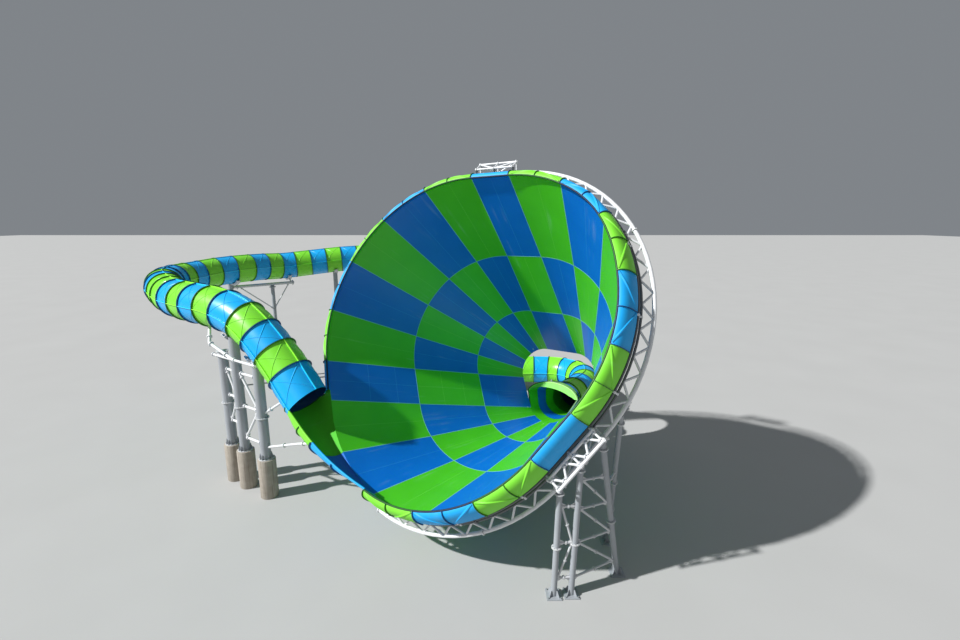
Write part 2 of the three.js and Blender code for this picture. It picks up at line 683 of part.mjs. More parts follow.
function addTubeColumns() {
  const tube = tubeCutters(INLET_ROUTE, INLET_NAMES);
  const members = TUBE_COLUMNS.map((column) => uprightMember(column));
  const cuts = members.map(memberCutter);
  TUBE_COLUMNS.forEach(({ name, x, y }, i) => {
    const plinth = bar(vec(x, y, 0), vec(x, y, PLINTH_TOP), PLINTH_RADIUS, 12);
    addPiece(`column_${name}_plinth`, concrete, geometryOf(plinth));
    const shaft = bar(members[i].foot, members[i].top, COLUMN_RADIUS, 12);
    const foot = bar(members[i].foot, vec(x, y, PLINTH_TOP + BASE_PLATE_THICK), PLINTH_RADIUS * 0.85, 12);
    addPiece(`column_${name}`, greySteel, geometryOf(join([shaft, foot], tube)));
  });
  const [a, b, c] = members;
  const run = c.top.clone().sub(a.top).setZ(0).normalize();
  const side = vec(run.y, -run.x, 0).multiplyScalar(COLUMN_RADIUS + STRUT_RADIUS * 0.8);
  const tieFrom = vec(a.top.x, a.top.y, TIE_HEIGHT).add(side).addScaledVector(run, -TIE_OVERHANG);
  const tieTo = vec(c.top.x, c.top.y, TIE_HEIGHT).add(side).addScaledVector(run, TIE_OVERHANG);
  const armFoot = tieFrom.clone().addScaledVector(run, ARM_FOOT);
  const arm = [
    bar(tieFrom, tieTo, STRUT_RADIUS),
    bar(armFoot, vec(...ARM_KNEE), STRUT_RADIUS),
    bar(vec(...ARM_KNEE), vec(...ARM_TOP), STRUT_RADIUS),
  ];
  addPiece('column_tie_and_arm', whiteSteel, geometryOf(join(arm, [...cuts, ...tube])));
  addPiece('column_bracing_rear', whiteSteel, geometryOf(bracedPanel(a, b, REAR_TIE_HEIGHTS)));
  addPiece('column_bracing_front', whiteSteel, geometryOf(bracedPanel(b, c, FRONT_TIE_HEIGHTS)));
  const onColumn = (height) => vec(c.top.x, c.top.y, height);
  const endStrut = bar(onColumn(END_STRUT_HEIGHT), INLET_ROUTE.getPointAt(END_STRUT_SHARE), STRUT_RADIUS);
  addPiece('tube_end_strut', whiteSteel, geometryOf(join([endStrut], [cuts[2], ...tube])));
  const chute = chuteCutter().transform(funnel.matrix.elements);
  const { angle, radius, depth } = CHUTE_STRUT_TOP;
  const held = toSite(sectionPoint(1, angle, radius, depth));
  const knee = vec(...CHUTE_STRUT_KNEE);
  const lower = [bar(onColumn(CHUTE_STRUT_HEIGHT), knee, STRUT_RADIUS), bar(knee, held, STRUT_RADIUS)];
  addPiece('chute_strut', whiteSteel, geometryOf(join(lower, [cuts[2], chute])));
}

// Solid body of the chute's outer form, to cut what meets it
const CHUTE_INSIDE = { angle: 232, radius: MOUTH_RADIUS - 2000, depth: 500 };

function chuteCutter() {
  const { angle, radius, depth } = CHUTE_INSIDE;
  const inside = (loop) => [...loop, sectionPoint(1, angle, radius, depth)];
  const loops = [inside(tubeEndSection(TUBE_RADIUS + GAP * 2, SHELL_WALL + GAP * 2))];
  for (let i = 1; i <= CHUTE_STEPS; i++) {
    loops.push(inside(chuteSection(i / CHUTE_STEPS, SHELL_WALL + GAP * 2)));
  }
  return solid(loft(loops));
}

// Columns under the far run of the inlet tube, with a beam between the first two
const FAR_COLUMNS = [
  { name: 'far_column_left', x: -24450, y: 46700, top: 11500 },
  { name: 'far_column_right', x: -15950, y: 52800, top: 12000 },
  { name: 'start_column', x: -12700, y: 54050, top: 12200 },
];
const FAR_COLUMN_RADIUS = 230;
const FAR_BEAM_HEIGHT = 10150;
const FAR_BEAM_END = [-19700, 50500];
const FAR_POST = [-21400, 49130];
const FAR_POST_RADIUS = FAR_COLUMN_RADIUS * 0.8;
const KNEE_BRACE_DROP = 2600;
const SADDLE_SHARE = 0.205;

function addFarColumns() {
  const tube = tubeCutters(INLET_ROUTE, INLET_NAMES);
  FAR_COLUMNS.forEach(({ name, x, y, top }) => {
    const shapes = [bar(vec(x, y, -FOOT_DEPTH), vec(x, y, top), FAR_COLUMN_RADIUS, 12), basePlate(x, y)];
    addPiece(name, greySteel, geometryOf(join(shapes, [...tube, BELOW_GROUND])));
  });
  const left = FAR_COLUMNS[0];
  const from = vec(left.x, left.y, FAR_BEAM_HEIGHT);
  const to = vec(...FAR_BEAM_END, FAR_BEAM_HEIGHT);
  const post = vec(...FAR_POST, FAR_BEAM_HEIGHT);
  const onBeam = (share) => from.clone().lerp(to, share);
  const knee = vec(...FAR_POST, FAR_BEAM_HEIGHT - KNEE_BRACE_DROP);
  const shapes = [
    bar(from, to, STRUT_RADIUS * 2, 8),
    bar(vec(...FAR_POST, -FOOT_DEPTH), post, FAR_POST_RADIUS, 12),
    basePlate(...FAR_POST),
    bar(onBeam(0.96), INLET_ROUTE.getPointAt(SADDLE_SHARE), STRUT_RADIUS),
    bar(knee, onBeam(0.92), BRACE_RADIUS),
    bar(knee, onBeam(0.12), BRACE_RADIUS),
  ];
  const column = bar(vec(left.x, left.y, 0), vec(left.x, left.y, left.top), FAR_COLUMN_RADIUS + GAP * 2, 12);
  addPiece('far_beam_and_post', greySteel, geometryOf(join(shapes, [column, ...tube, BELOW_GROUND])));
}

// Ring and two columns that carry the small end of the funnel
const THROAT_RING = [1965, -14450];
const THROAT_RING_RADIUS = 90;
const THROAT_CORE = 100;

function throatCutter() {
  const grow = SHELL_WALL + GAP * 2;
  return solid(roundSolid([
    [THROAT_CORE, -ROW_DEPTHS[2]], [ROW_RADII[2] + grow, -ROW_DEPTHS[2]],
    [ROW_RADII[3] + grow, -ROW_DEPTHS[3]], [THROAT_CORE, -ROW_DEPTHS[3]],
  ], 0, ALL_COLUMNS));
}

function addThroatFrame() {
  const ring = roundBar(THROAT_RING, THROAT_RING_RADIUS, 0, ALL_COLUMNS);
  addPiece('throat_ring', whiteSteel, geometryOf(join([ring], [throatCutter()])), funnel);
  const wideRing = roundBar(THROAT_RING, THROAT_RING_RADIUS, 0, ALL_COLUMNS, GAP * 2);
  const ringCutter = wideRing.transform(funnel.matrix.elements);
  const shell = throatCutter().transform(funnel.matrix.elements);
  [['left', 0], ['right', 1]].forEach(([side, strip]) => {
    const top = toSite(stripPoint(strip, 0, THROAT_RING[0] + LEG_RADIUS, THROAT_RING[1]));
    const shapes = [bar(vec(top.x, top.y, -FOOT_DEPTH), top, LEG_RADIUS, 12), basePlate(top.x, top.y)];
    const shape = join(shapes, [ringCutter, shell, BELOW_GROUND]);
    addPiece(`throat_column_${side}`, greySteel, geometryOf(shape));
  });
}

// Exit collar: from the lower part of the small end, under an arch, to the round exit tube
const ARCH_HALF_WIDTH = 2080;
const ARCH_SPRING = -1260;
const ARCH_RISE = 1150;
const ARCH_POINTS = 7;
const COLLAR_CENTRE_Y = -1900;
const COLLAR_OVERRUN = 0.02;

function collarFront(thick, depth) {
  const loop = [];
  for (let column = PER_ARC; column < 2 * PER_ARC; column++) {
    loop.push(columnPoint(column, ROW_RADII[3] + thick, depth));
  }
  for (let i = 0; i <= ARCH_POINTS + 1; i++) {
    const turn = Math.PI * i / (ARCH_POINTS + 1);
    loop.push(vec(
      (ARCH_HALF_WIDTH + thick) * Math.cos(turn), ARCH_SPRING + (ARCH_RISE + thick) * Math.sin(turn), depth,
    ));
  }
  return loop;
}

function collarBack(radius, shift) {
  const heading = EXIT_ROUTE.getTangentAt(0);
  const right = new THREE.Vector3().crossVectors(heading, vec(0, 0, 1)).normalize();
  const up = new THREE.Vector3().crossVectors(right, heading);
  const centre = EXIT_ROUTE.getPointAt(0).addScaledVector(heading, shift);
  return collarFront(0, 0).map((p) => {
    const turn = Math.atan2(p.y - COLLAR_CENTRE_Y, p.x);
    return toFunnel(centre.clone()
      .addScaledVector(right, radius * Math.cos(turn))
      .addScaledVector(up, radius * Math.sin(turn)));
  });
}

function addExitCollar() {
  const depth = -ROW_DEPTHS[3] - GAP;
  const outer = loft([collarFront(SHELL_WALL, depth), collarBack(TUBE_RADIUS, -GAP)]);
  const innerFront = collarFront(0, depth);
  const innerBack = collarBack(TUBE_RADIUS - TUBE_WALL, -GAP);
  const before = innerFront.map((p, i) => p.clone().lerp(innerBack[i], -COLLAR_OVERRUN));
  const after = innerBack.map((p, i) => p.clone().lerp(innerFront[i], -COLLAR_OVERRUN));
  const shape = join([solid(outer)], [solid(loft([before, after]))]);
  addPiece('exit_collar', greenPanel, geometryOf(shape), funnel);
}

// Goalpost frames under the exit tube
const EXIT_SUPPORT_SHARES = [0.22, 0.55, 0.93];
const EXIT_POST_OFFSET = 1100;
const EXIT_POST_DROP = 400;
const EXIT_BASE_PLATE = 400;

function addExitSupports() {
  const tube = tubeCutters(EXIT_ROUTE, EXIT_NAMES);
  EXIT_SUPPORT_SHARES.forEach((share, i) => {
    const centre = EXIT_ROUTE.getPointAt(share);
    const heading = EXIT_ROUTE.getTangentAt(share);
    const side = new THREE.Vector3().crossVectors(heading, vec(0, 0, 1)).normalize();
    const beamHeight = centre.z - TUBE_RADIUS - STRUT_RADIUS * 0.6;
    const ends = [-1, 1].map((sign) => centre.clone().addScaledVector(side, sign * EXIT_POST_OFFSET));
    const shapes = ends.flatMap((p) => [
      bar(vec(p.x, p.y, -FOOT_DEPTH), vec(p.x, p.y, centre.z - EXIT_POST_DROP), STRUT_RADIUS, 8),
      basePlate(p.x, p.y, EXIT_BASE_PLATE),
    ]);
    shapes.push(bar(ends[0].clone().setZ(beamHeight), ends[1].clone().setZ(beamHeight), STRUT_RADIUS, 8));
    addPiece(`exit_support_${i + 1}`, greySteel, geometryOf(join(shapes, [...tube, BELOW_GROUND])));
  });
}

addFunnelRows();
addTube(INLET_ROUTE, 'inlet_tube', INLET_NAMES);
addTube(EXIT_ROUTE, 'exit_tube', EXIT_NAMES);
addPiece('entry_chute', greenPanel, chuteShape(), funnel);
addLip();
addRingTruss();
const frameCuts = chordShapes(...FRAME_COLUMNS, GAP * 2);
addPiece('tower_box_frame', whiteSteel, geometryOf(join(boxFrameBars(), frameCuts)), funnel);
const topCuts = chordShapes(...TOP_COLUMNS, GAP * 2);
addPiece('top_truss', whiteSteel, geometryOf(join(topTrussBars(), topCuts)), funnel);
addTower();
addTubeColumns();
addFarColumns();
addThroatFrame();
addExitCollar();
addExitSupports();

export default site;
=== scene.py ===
from math import atan2, cos, degrees, pi, radians, sin, sqrt, tau

import bmesh
import bpy
from mathutils import Matrix, Quaternion, Vector
from mathutils.geometry import interpolate_bezier


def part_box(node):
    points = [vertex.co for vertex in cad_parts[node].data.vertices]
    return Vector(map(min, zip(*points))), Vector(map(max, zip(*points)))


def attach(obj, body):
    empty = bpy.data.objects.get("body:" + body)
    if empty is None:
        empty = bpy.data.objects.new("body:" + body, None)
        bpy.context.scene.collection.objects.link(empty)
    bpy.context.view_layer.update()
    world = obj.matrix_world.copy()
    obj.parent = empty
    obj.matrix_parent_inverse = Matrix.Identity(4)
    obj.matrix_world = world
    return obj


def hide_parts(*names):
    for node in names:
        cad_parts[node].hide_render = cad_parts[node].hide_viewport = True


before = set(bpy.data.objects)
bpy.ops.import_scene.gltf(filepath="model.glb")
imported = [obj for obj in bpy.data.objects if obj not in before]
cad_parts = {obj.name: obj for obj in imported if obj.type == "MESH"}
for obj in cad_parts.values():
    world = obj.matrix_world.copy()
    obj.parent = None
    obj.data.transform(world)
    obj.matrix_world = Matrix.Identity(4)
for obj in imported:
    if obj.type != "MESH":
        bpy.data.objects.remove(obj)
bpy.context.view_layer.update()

# Concrete plinths. Round cast piers, a little over a metre across, that lift the three tube columns clear of
# the ground. The concrete was poured in a ring form, so the top edge is chamfered and the sides are stained
# where rain runs off the column's base plate.


class Value:
    """A number or colour inside a finish, with plain arithmetic."""

    def __init__(self, finish, socket):
        self.finish = finish
        self.socket = socket

    def maths(self, operation, first, second):
        return self.finish.node("ShaderNodeMath", {0: first, 1: second}, {"operation": operation})

    def __add__(self, other):
        return self.maths("ADD", self, other)

    def __radd__(self, other):
        return self.maths("ADD", other, self)

    def __mul__(self, other):
        return self.maths("MULTIPLY", self, other)


class Finish:
    """One painted, moulded or cast surface, with everything that varies over it."""

    def __init__(self, name, metallic=0.0):
        self.material = bpy.data.materials.new(name)
        self.material.use_nodes = True
        self.tree = self.material.node_tree
        self.shader = self.tree.nodes["Principled BSDF"]
        self.shader.inputs["Metallic"].default_value = metallic
        self.place = self.node("ShaderNodeTexCoord", {}, output="Object")

    def node(self, kind, sockets, settings=None, output=0):
        made = self.tree.nodes.new(kind)
        for name, setting in (settings or {}).items():
            setattr(made, name, setting)
        for name, value in sockets.items():
            self.fill(made.inputs[name], value)
        return Value(self, made.outputs[output])

    def fill(self, socket, value):
        if isinstance(value, Value):
            self.tree.links.new(value.socket, socket)
        else:
            socket.default_value = value

    def noise(self, size, detail=4.0, place=None):
        """Cloudy variation whose patches are about a size across, in metres."""
        sockets = {"Vector": place or self.place, "Scale": 1 / size, "Detail": detail}
        return self.node("ShaderNodeTexNoise", sockets)

    def stretched(self, along, across):
        """The place on the piece, drawn out for streaks: long along Z, narrow across."""
        sockets = {"Vector": self.place, "Scale": (1 / across, 1 / across, 1 / along)}
        return self.node("ShaderNodeMapping", sockets)

    def band(self, value, low, high):
        """0 below one level of a value, 1 above the other, and smooth between them."""
        sockets = {"Value": value, "From Min": low, "From Max": high}
        return self.node("ShaderNodeMapRange", sockets, {"interpolation_type": "SMOOTHSTEP"})

    def mix(self, share, under, over):
        sockets = {0: share, 6: self.colour(under), 7: self.colour(over)}
        return self.node("ShaderNodeMix", sockets, {"data_type": "RGBA"}, output=2)

    def colour(self, tone):
        return tone if isinstance(tone, Value) else (*tone, 1)

    def surface(self, colour, roughness, height=None, relief=0.002):
        self.fill(self.shader.inputs["Base Color"], self.colour(colour))
        self.fill(self.shader.inputs["Roughness"], roughness)
        if height is not None:
            bump = self.node("ShaderNodeBump", {"Height": height, "Distance": relief})
            self.fill(self.shader.inputs["Normal"], bump)


def cast_concrete():
    finish = Finish("cast_concrete")
    mottle = finish.noise(0.35, 8)
    runs = finish.noise(1.0, 3, finish.stretched(2.5, 0.09))
    stains = finish.band(runs, 0.5, 0.72) * 0.55
    tone = finish.mix(mottle, (0.26, 0.225, 0.18), (0.50, 0.455, 0.39))
    pits = finish.noise(0.03, 2)
    colour = finish.mix(stains, tone, (0.16, 0.13, 0.10))
    finish.surface(colour, 0.72 + mottle * 0.25, mottle * 0.4 + pits * 0.3, 0.006)
    return finish.material


CONCRETE = cast_concrete()
SMOOTH_ANGLE = 34


def in_scene(name, data):
    """A new object in the scene, made from its data."""
    made = bpy.data.objects.new(name, data)
    bpy.context.scene.collection.objects.link(made)
    return made


class Piece:
    """The mesh of one piece, gathered from shapes in their own finishes."""

    def __init__(self):
        self.whole = bmesh.new()
        self.finishes = []

    def number(self, finish):
        if finish not in self.finishes:
            self.finishes.append(finish)
        return self.finishes.index(finish)

    def add(self, shape, finish):
        for face in shape.faces:
            face.material_index = self.number(finish)
        self.take(shape)

    def take(self, shape):
        bmesh.ops.recalc_face_normals(shape, faces=shape.faces[:])
        loose = bpy.data.meshes.new("loose")
        shape.to_mesh(loose)
        shape.free()
        self.whole.from_mesh(loose)
        bpy.data.meshes.remove(loose)

    def fit(self, name, node, slot):
        """Finish the mesh and put it in place of its node, on the one fixed body."""
        mesh = bpy.data.meshes.new(name)
        self.whole.to_mesh(mesh)
        self.whole.free()
        for finish in self.finishes:
            mesh.materials.append(finish)
        mesh.shade_smooth()
        mesh.set_sharp_from_angle(angle=radians(SMOOTH_ANGLE))
        made = in_scene(name, mesh)
        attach(made, "root")
        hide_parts(node)


def eased(shape, edges, width, steps=2):
    bmesh.ops.bevel(shape, geom=edges, offset=width, segments=steps, profile=0.5, affect="EDGES", material=-1)


def add_bar(shape, middle, axis, length, radius, sides):
    """Put a round bar into a shape, centred on a spot and turned along an axis."""
    place = Matrix.Translation(middle) @ axis.to_track_quat("Z", "Y").to_matrix().to_4x4()
    bmesh.ops.create_cone(
        shape, cap_ends=True, segments=sides, radius1=radius, radius2=radius, depth=length, matrix=place,
    )


def turned_round(start, end, radius, sides, ease=0.0):
    """A round bar from one point to another, with its end edges eased."""
    shape = bmesh.new()
    add_bar(shape, (start + end) / 2, end - start, (end - start).length, radius, sides)
    if ease:
        rims = [edge for edge in shape.edges if any(len(face.verts) > 4 for face in edge.link_faces)]
        eased(shape, rims, ease)
    return shape


PLINTH_RADIUS = 0.525
PLINTH_TOP = 2.5
COLUMN_PLACES = {
    "a": Vector((-7.82, -7.888, 0)), "b": Vector((-6.58, -8.778, 0)), "c": Vector((-4.76, -9.918, 0)),
}
UPWARD = Vector((0, 0, 1))

for letter, spot in COLUMN_PLACES.items():
    plinth = Piece()
    plinth.add(turned_round(spot, spot + UPWARD * PLINTH_TOP, PLINTH_RADIUS, 48, 0.03), CONCRETE)
    plinth.fit(f"column_{letter}_cast_pier", f"column_{letter}_plinth", "concrete")

# Tube columns. Three rolled steel pipes, 600 mm across, painted grey, in two lengths bolted together through
# flange rings at mid height. Each stands on a ring flange with anchor bolts and gussets. Column a has a cap
# plate on its head, and a saddle on the head of each of the other two holds the raft tube.


def steel_paint(name, light, dark, grime):
    """Sprayed paint on rolled steel: faint clouds, rain streaks and dust."""
    finish = Finish(name, metallic=0.1)
    clouds = finish.noise(1.1, 5)
    runs = finish.noise(1.0, 4, finish.stretched(3.0, 0.05))
    specks = finish.noise(0.02, 2)
    dirt = finish.band(runs, 0.52, 0.75) * finish.band(clouds, 0.35, 0.7) * grime
    tone = finish.mix(clouds, dark, light)
    colour = finish.mix(dirt, tone, (0.17, 0.135, 0.10))
    finish.surface(colour, 0.38 + clouds * 0.2, specks * 0.5 + clouds * 0.3, 0.002)
    return finish.material


def zinc_plate():
    finish = Finish("zinc_plate", metallic=0.75)
    spangle = finish.noise(0.012, 3)
    colour = finish.mix(spangle, (0.34, 0.35, 0.36), (0.62, 0.63, 0.64))
    finish.surface(colour, 0.32 + spangle * 0.25, spangle, 0.0006)
    return finish.material


GREY_STEEL = steel_paint("grey_steel_paint", (0.40, 0.425, 0.45), (0.29, 0.31, 0.335), 0.35)
PALE_STEEL = steel_paint("pale_steel_paint", (0.66, 0.67, 0.68), (0.52, 0.53, 0.545), 0.3)
WHITE_STEEL = steel_paint("white_steel_paint", (0.84, 0.85, 0.86), (0.70, 0.71, 0.73), 0.28)
ZINC = zinc_plate()
BOLT_RADIUS = 0.016
ANCHOR_RADIUS = 0.024
PLATE = 0.025
THIN_PLATE = 0.014
GUSSET_THICK = 0.016


def bolts(piece, spots, axis, length, radius=BOLT_RADIUS, finish=ZINC):
    """Hexagon bolts through a joint, with head and nut standing out at both sides."""
    row = bmesh.new()
    for spot in spots:
        add_bar(row, spot, axis, length, radius, 6)
    piece.add(row, finish)


def ring_of(spot, axis, radius, count):
    """Points evenly round an axis."""
    side = axis.orthogonal().normalized() * radius
    return [spot + Quaternion(axis, tau * step / count) @ side for step in range(count)]


def pipe(piece, start, end, radius, finish, sides=24):
    piece.add(turned_round(start, end, radius, sides), finish)


def bolted_joint(piece, spot, axis, radius, finish, count, wide):
    """Two flange discs face to face with a ring of bolts through them."""
    axis = axis.normalized()
    for side in (-1, 1):
        inner = spot + axis * side * 0.002
        piece.add(turned_round(inner, inner + axis * side * PLATE, radius * wide, 32, 0.003), finish)
    reach = radius * (1 + wide) / 2
    bolts(piece, ring_of(spot, axis, reach, count), axis, PLATE * 2 + 0.05, min(BOLT_RADIUS, radius * 0.14))


def swept(outline, places):
    """A flat outline carried through a row of places, closed at its first and last."""
    shape = bmesh.new()
    corners = [shape.verts.new((x, y, 0)) for x, y in outline]
    face = shape.faces.new(corners)
    bmesh.ops.transform(shape, matrix=places[0], verts=corners)
    for step, (before, after) in enumerate(zip(places, places[1:])):
        made = bmesh.ops.extrude_face_region(shape, geom=[face])["geom"]
        if step:
            bmesh.ops.delete(shape, geom=[face], context="FACES_ONLY")
        face = next(part for part in made if isinstance(part, bmesh.types.BMFace))
        bmesh.ops.transform(shape, matrix=after @ before.inverted(), verts=face.verts)
    return shape


def plate(outline, place, thick):
    """A flat plate, its outline in the place's XY plane and its thickness centred on it."""
    return swept(outline, [place @ Matrix.Translation((0, 0, side * thick / 2)) for side in (-1, 1)])


def set_square(spot, right, up, along):
    """A place at a spot, with its X, Y and Z along three directions."""
    return Matrix.Translation(spot) @ Matrix((right, up, along)).transposed().to_4x4()


def standing_plate(piece, outline, spot, out, thick, finish):
    """A plate that stands upright at a spot, with the X of its outline pointing outwards."""
    piece.add(plate(outline, set_square(spot, out, UPWARD, out.cross(UPWARD)), thick), finish)


def gussets(piece, spot, radius, reach, height, count):
    """Triangular plates that stiffen an upright pipe on its flange."""
    triangle = [(0, 0), (reach, 0), (reach * 0.35, height), (0, height)]
    for point in ring_of(spot, UPWARD, radius, count):
        standing_plate(piece, triangle, point, (point - spot).normalized(), GUSSET_THICK, GREY_STEEL)


COLUMN_RADIUS = 0.30
COLUMN_JOINTS = {"a": 5.35, "b": 5.4, "c": 5.15}
RING_HEIGHT = 0.04
ANCHORS = 12


def line_of(letter):
    """Foot and top of a column's pipe."""
    spot = COLUMN_PLACES[letter]
    return spot + UPWARD * PLINTH_TOP, Vector((spot.x, spot.y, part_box(f"column_{letter}")[1][2]))


def upright(piece, foot, top, height):
    """A column pipe on its ring flange, with a bolted joint at a height."""
    pipe(piece, foot, top, COLUMN_RADIUS, GREY_STEEL, 40)
    ring_top = foot + UPWARD * RING_HEIGHT
    piece.add(turned_round(foot, ring_top, COLUMN_RADIUS * 1.48, 40, 0.004), PALE_STEEL)
    anchors = ring_of(ring_top + UPWARD * 0.02, UPWARD, COLUMN_RADIUS * 1.27, ANCHORS)
    bolts(piece, anchors, UPWARD, 0.09, ANCHOR_RADIUS)
    gussets(piece, ring_top, COLUMN_RADIUS, COLUMN_RADIUS * 0.4, COLUMN_RADIUS, ANCHORS)
    share = (height - foot.z) / (top.z - foot.z)
    bolted_joint(piece, foot.lerp(top, share), top - foot, COLUMN_RADIUS, PALE_STEEL, 16, 1.3)


# The inlet's run, which the saddles on the column heads follow, from the hidden upper end to the funnel.
INLET_ROUTE = [
    (-4.06, 17.442, 12.52), (-6.67, 16.492, 12.42), (-8.65, 15.742, 12.25), (-10.54, 14.882, 12.06),
    (-12.46, 13.742, 11.9), (-13.86, 12.092, 11.95), (-15.11, 10.242, 11.95), (-16.46, 8.492, 11.85),
    (-17.61, 6.142, 11.65), (-17.71, 3.542, 11.62), (-16.66, 0.842, 11.6), (-14.76, -1.758, 11.56),
    (-12.51, -4.158, 11.42), (-10.06, -6.008, 11.38), (-7.86, -7.308, 11.26), (-6.11, -8.308, 10.82),
    (-4.66, -9.108, 9.85), (-2.97, -10.098, 8.2), (-1.64, -10.998, 6.69),
]
TUBE_RADIUS = 1.25


def square(spot, heading):
    """A place square to a heading: X to the right, Y up, Z along it."""
    right = heading.cross(UPWARD).normalized()
    return set_square(spot, right, right.cross(heading), heading)


class Route:
    """A smooth line through points, read by the length run along it."""

    def __init__(self, points, fine=24):
        spots = [Vector(point) for point in points]
        spots = [2 * spots[0] - spots[1], *spots, 2 * spots[-1] - spots[-2]]
        self.line = []
        for a, b, c, d in zip(spots, spots[1:], spots[2:], spots[3:]):
            before, within, after = [sqrt((q - p).length) for p, q in ((a, b), (b, c), (c, d))]
            leave = (b - a) / before - (c - a) / (before + within) + (c - b) / within
            arrive = (c - b) / within - (d - b) / (within + after) + (d - c) / after
            handles = (b + leave * within / 3, c - arrive * within / 3)
            self.line += interpolate_bezier(b, *handles, c, fine + 1)[:-1]
        self.line.append(spots[-2])
        self.run = [0.0]
        for start, end in zip(self.line, self.line[1:]):
            self.run.append(self.run[-1] + (end - start).length)
        self.length = self.run[-1]

    def place(self, length):
        length = min(max(length, 0.0), self.length)
        step = max(i for i, run in enumerate(self.run[:-1]) if run <= length)
        start, end = self.line[step], self.line[step + 1]
        share = (length - self.run[step]) / (self.run[step + 1] - self.run[step])
        before = self.line[max(step - 1, 0)]
        after = self.line[min(step + 2, len(self.line) - 1)]
        heading = (end - before).lerp(after - start, share).normalized()
        return square(start.lerp(end, share), heading)


INLET = Route(INLET_ROUTE)


def lerp(low, high, share):
    return low + (high - low) * share


def arc_points(radius, first, last, steps):
    """Points on an arc about the origin of a place, from one angle in degrees to another."""
    turns = [radians(first + (last - first) * step / steps) for step in range(steps + 1)]
    return [(radius * cos(turn), radius * sin(turn)) for turn in turns]


def crescent(inner, outer, middle, reach, steps):
    """The outline of a curved strip between two radii, reaching as far to both sides of an angle."""
    first, last = middle - reach, middle + reach
    return arc_points(inner, first, last, steps) + arc_points(outer, last, first, steps)


# How far the saddle reaches to both sides of the belly, and the gap, rise, shift and thickness of its plates.
SADDLE_REACH = 48
SADDLE_PLATES = ((0.10, 0.26, -0.16, 0.02), (0.10, 0.26, 0.16, 0.02), (0.22, 0.24, 0, 0.30))


def saddle(piece, column):
    """Two curved plates with a web between them, on a column's head, round the belly of the tube."""
    nearest = min(INLET.line, key=lambda spot: (Vector((spot.x, spot.y, 0)) - column).length)
    length = INLET.run[INLET.line.index(nearest)]
    for gap, rise, shift, thick in SADDLE_PLATES:
        outline = crescent(TUBE_RADIUS + gap, TUBE_RADIUS + rise, -90, SADDLE_REACH, 10)
        piece.add(plate(outline, INLET.place(length + shift), thick), PALE_STEEL)


for letter, spot in COLUMN_PLACES.items():
    column = Piece()
    foot, top = line_of(letter)
    upright(column, foot, top, COLUMN_JOINTS[letter])
    if letter == "a":
        column.add(turned_round(top, top + UPWARD * 0.03, COLUMN_RADIUS * 1.25, 40, 0.004), PALE_STEEL)
    else:
        saddle(column, spot)
    column.fit(f"column_{letter}_pipe", f"column_{letter}", "grey_steel")

# Ties between the tube columns. White painted pipes with flange joints: a long level tie across the three
# columns, a bent arm that reaches up to the loop of the tube, level struts and diagonals between the columns,
# and short struts from the front column to the tube's end and to the entry chute.
STRUT_RADIUS = 0.075
BRACE_RADIUS = 0.055
COLUMN_BRACE_RADIUS = 0.075
TIE_HEIGHT = 8.5
ARM_RADIUS = 0.095
ARM_FOOT = 2.3
ARM_KNEE = Vector((-8.48, -8.028, 9.25))
ARM_TOP = Vector((-9.06, -6.608, 10.9))
ARM_SHORT = 0.75
EAR = ((0, -0.17), (0.2, -0.06), (0.2, 0.06), (0, 0.17))
CLAMP_HEIGHT = 0.22
CLAMP_BOLTS = (-0.085, 0.085)


def member(piece, start, end, radius, finish, joints=(0.5,)):
    """A straight pipe with bolted flange joints at some shares of its length."""
    pipe(piece, start, end, radius, finish)
    for share in joints:
        bolted_joint(piece, start.lerp(end, share), end - start, radius, finish, 6, 1.75)


def elbow(piece, spot, radius):
    """A mitred bend, covered by a round weld collar."""
    shape = bmesh.new()
    bmesh.ops.create_icosphere(shape, subdivisions=3, radius=radius * 1.04, matrix=Matrix.Translation(spot))
    piece.add(shape, WHITE_STEEL)


def clamp(piece, spot, column):
    """A bolted half collar that holds a tie against a column."""
    centre = Vector((column.x, column.y, spot.z))
    turn = degrees(atan2(spot.y - centre.y, spot.x - centre.x))
    collar = crescent(COLUMN_RADIUS + 0.012, COLUMN_RADIUS + 0.002, turn, 60, 12)
    piece.add(plate(collar, Matrix.Translation(centre), CLAMP_HEIGHT), WHITE_STEEL)
    out = (spot - centre).normalized()
    bolts(piece, [spot + UPWARD * lift - out * 0.02 for lift in CLAMP_BOLTS], out, 0.16)


def skin_point(first, second, radius, height):
    """A point on an upright's skin at a height, on the side that faces another upright."""
    here, there = [start.lerp(end, (height - start.z) / (end.z - start.z)) for start, end in (first, second)]
    return here + (there - here).normalized() * (radius - 0.01)


def braced_panel(piece, lines, radii, heights, finish, thick, joints=(0.12, 0.88), zigzag=True):
    """Level struts between two uprights, with one diagonal in each bay and gusset plates at the ends."""
    for step, height in enumerate(heights):
        struts = [(1, height)]
        if step:
            struts.append((1 if zigzag and step % 2 else -1, heights[step - 1]))
        for order, below in struts:
            low, high = lines[::order]
            low_radius, high_radius = radii[::order]
            start = skin_point(low, high, low_radius, below)
            member(piece, start, skin_point(high, low, high_radius, height), thick, finish, joints)
        for here, there, reach in ((*lines, radii[0]), (*lines[::-1], radii[1])):
            spot = skin_point(here, there, reach, height)
            out = (skin_point(there, here, reach, height) - spot).normalized()
            standing_plate(piece, EAR, spot, out, THIN_PLATE, finish)


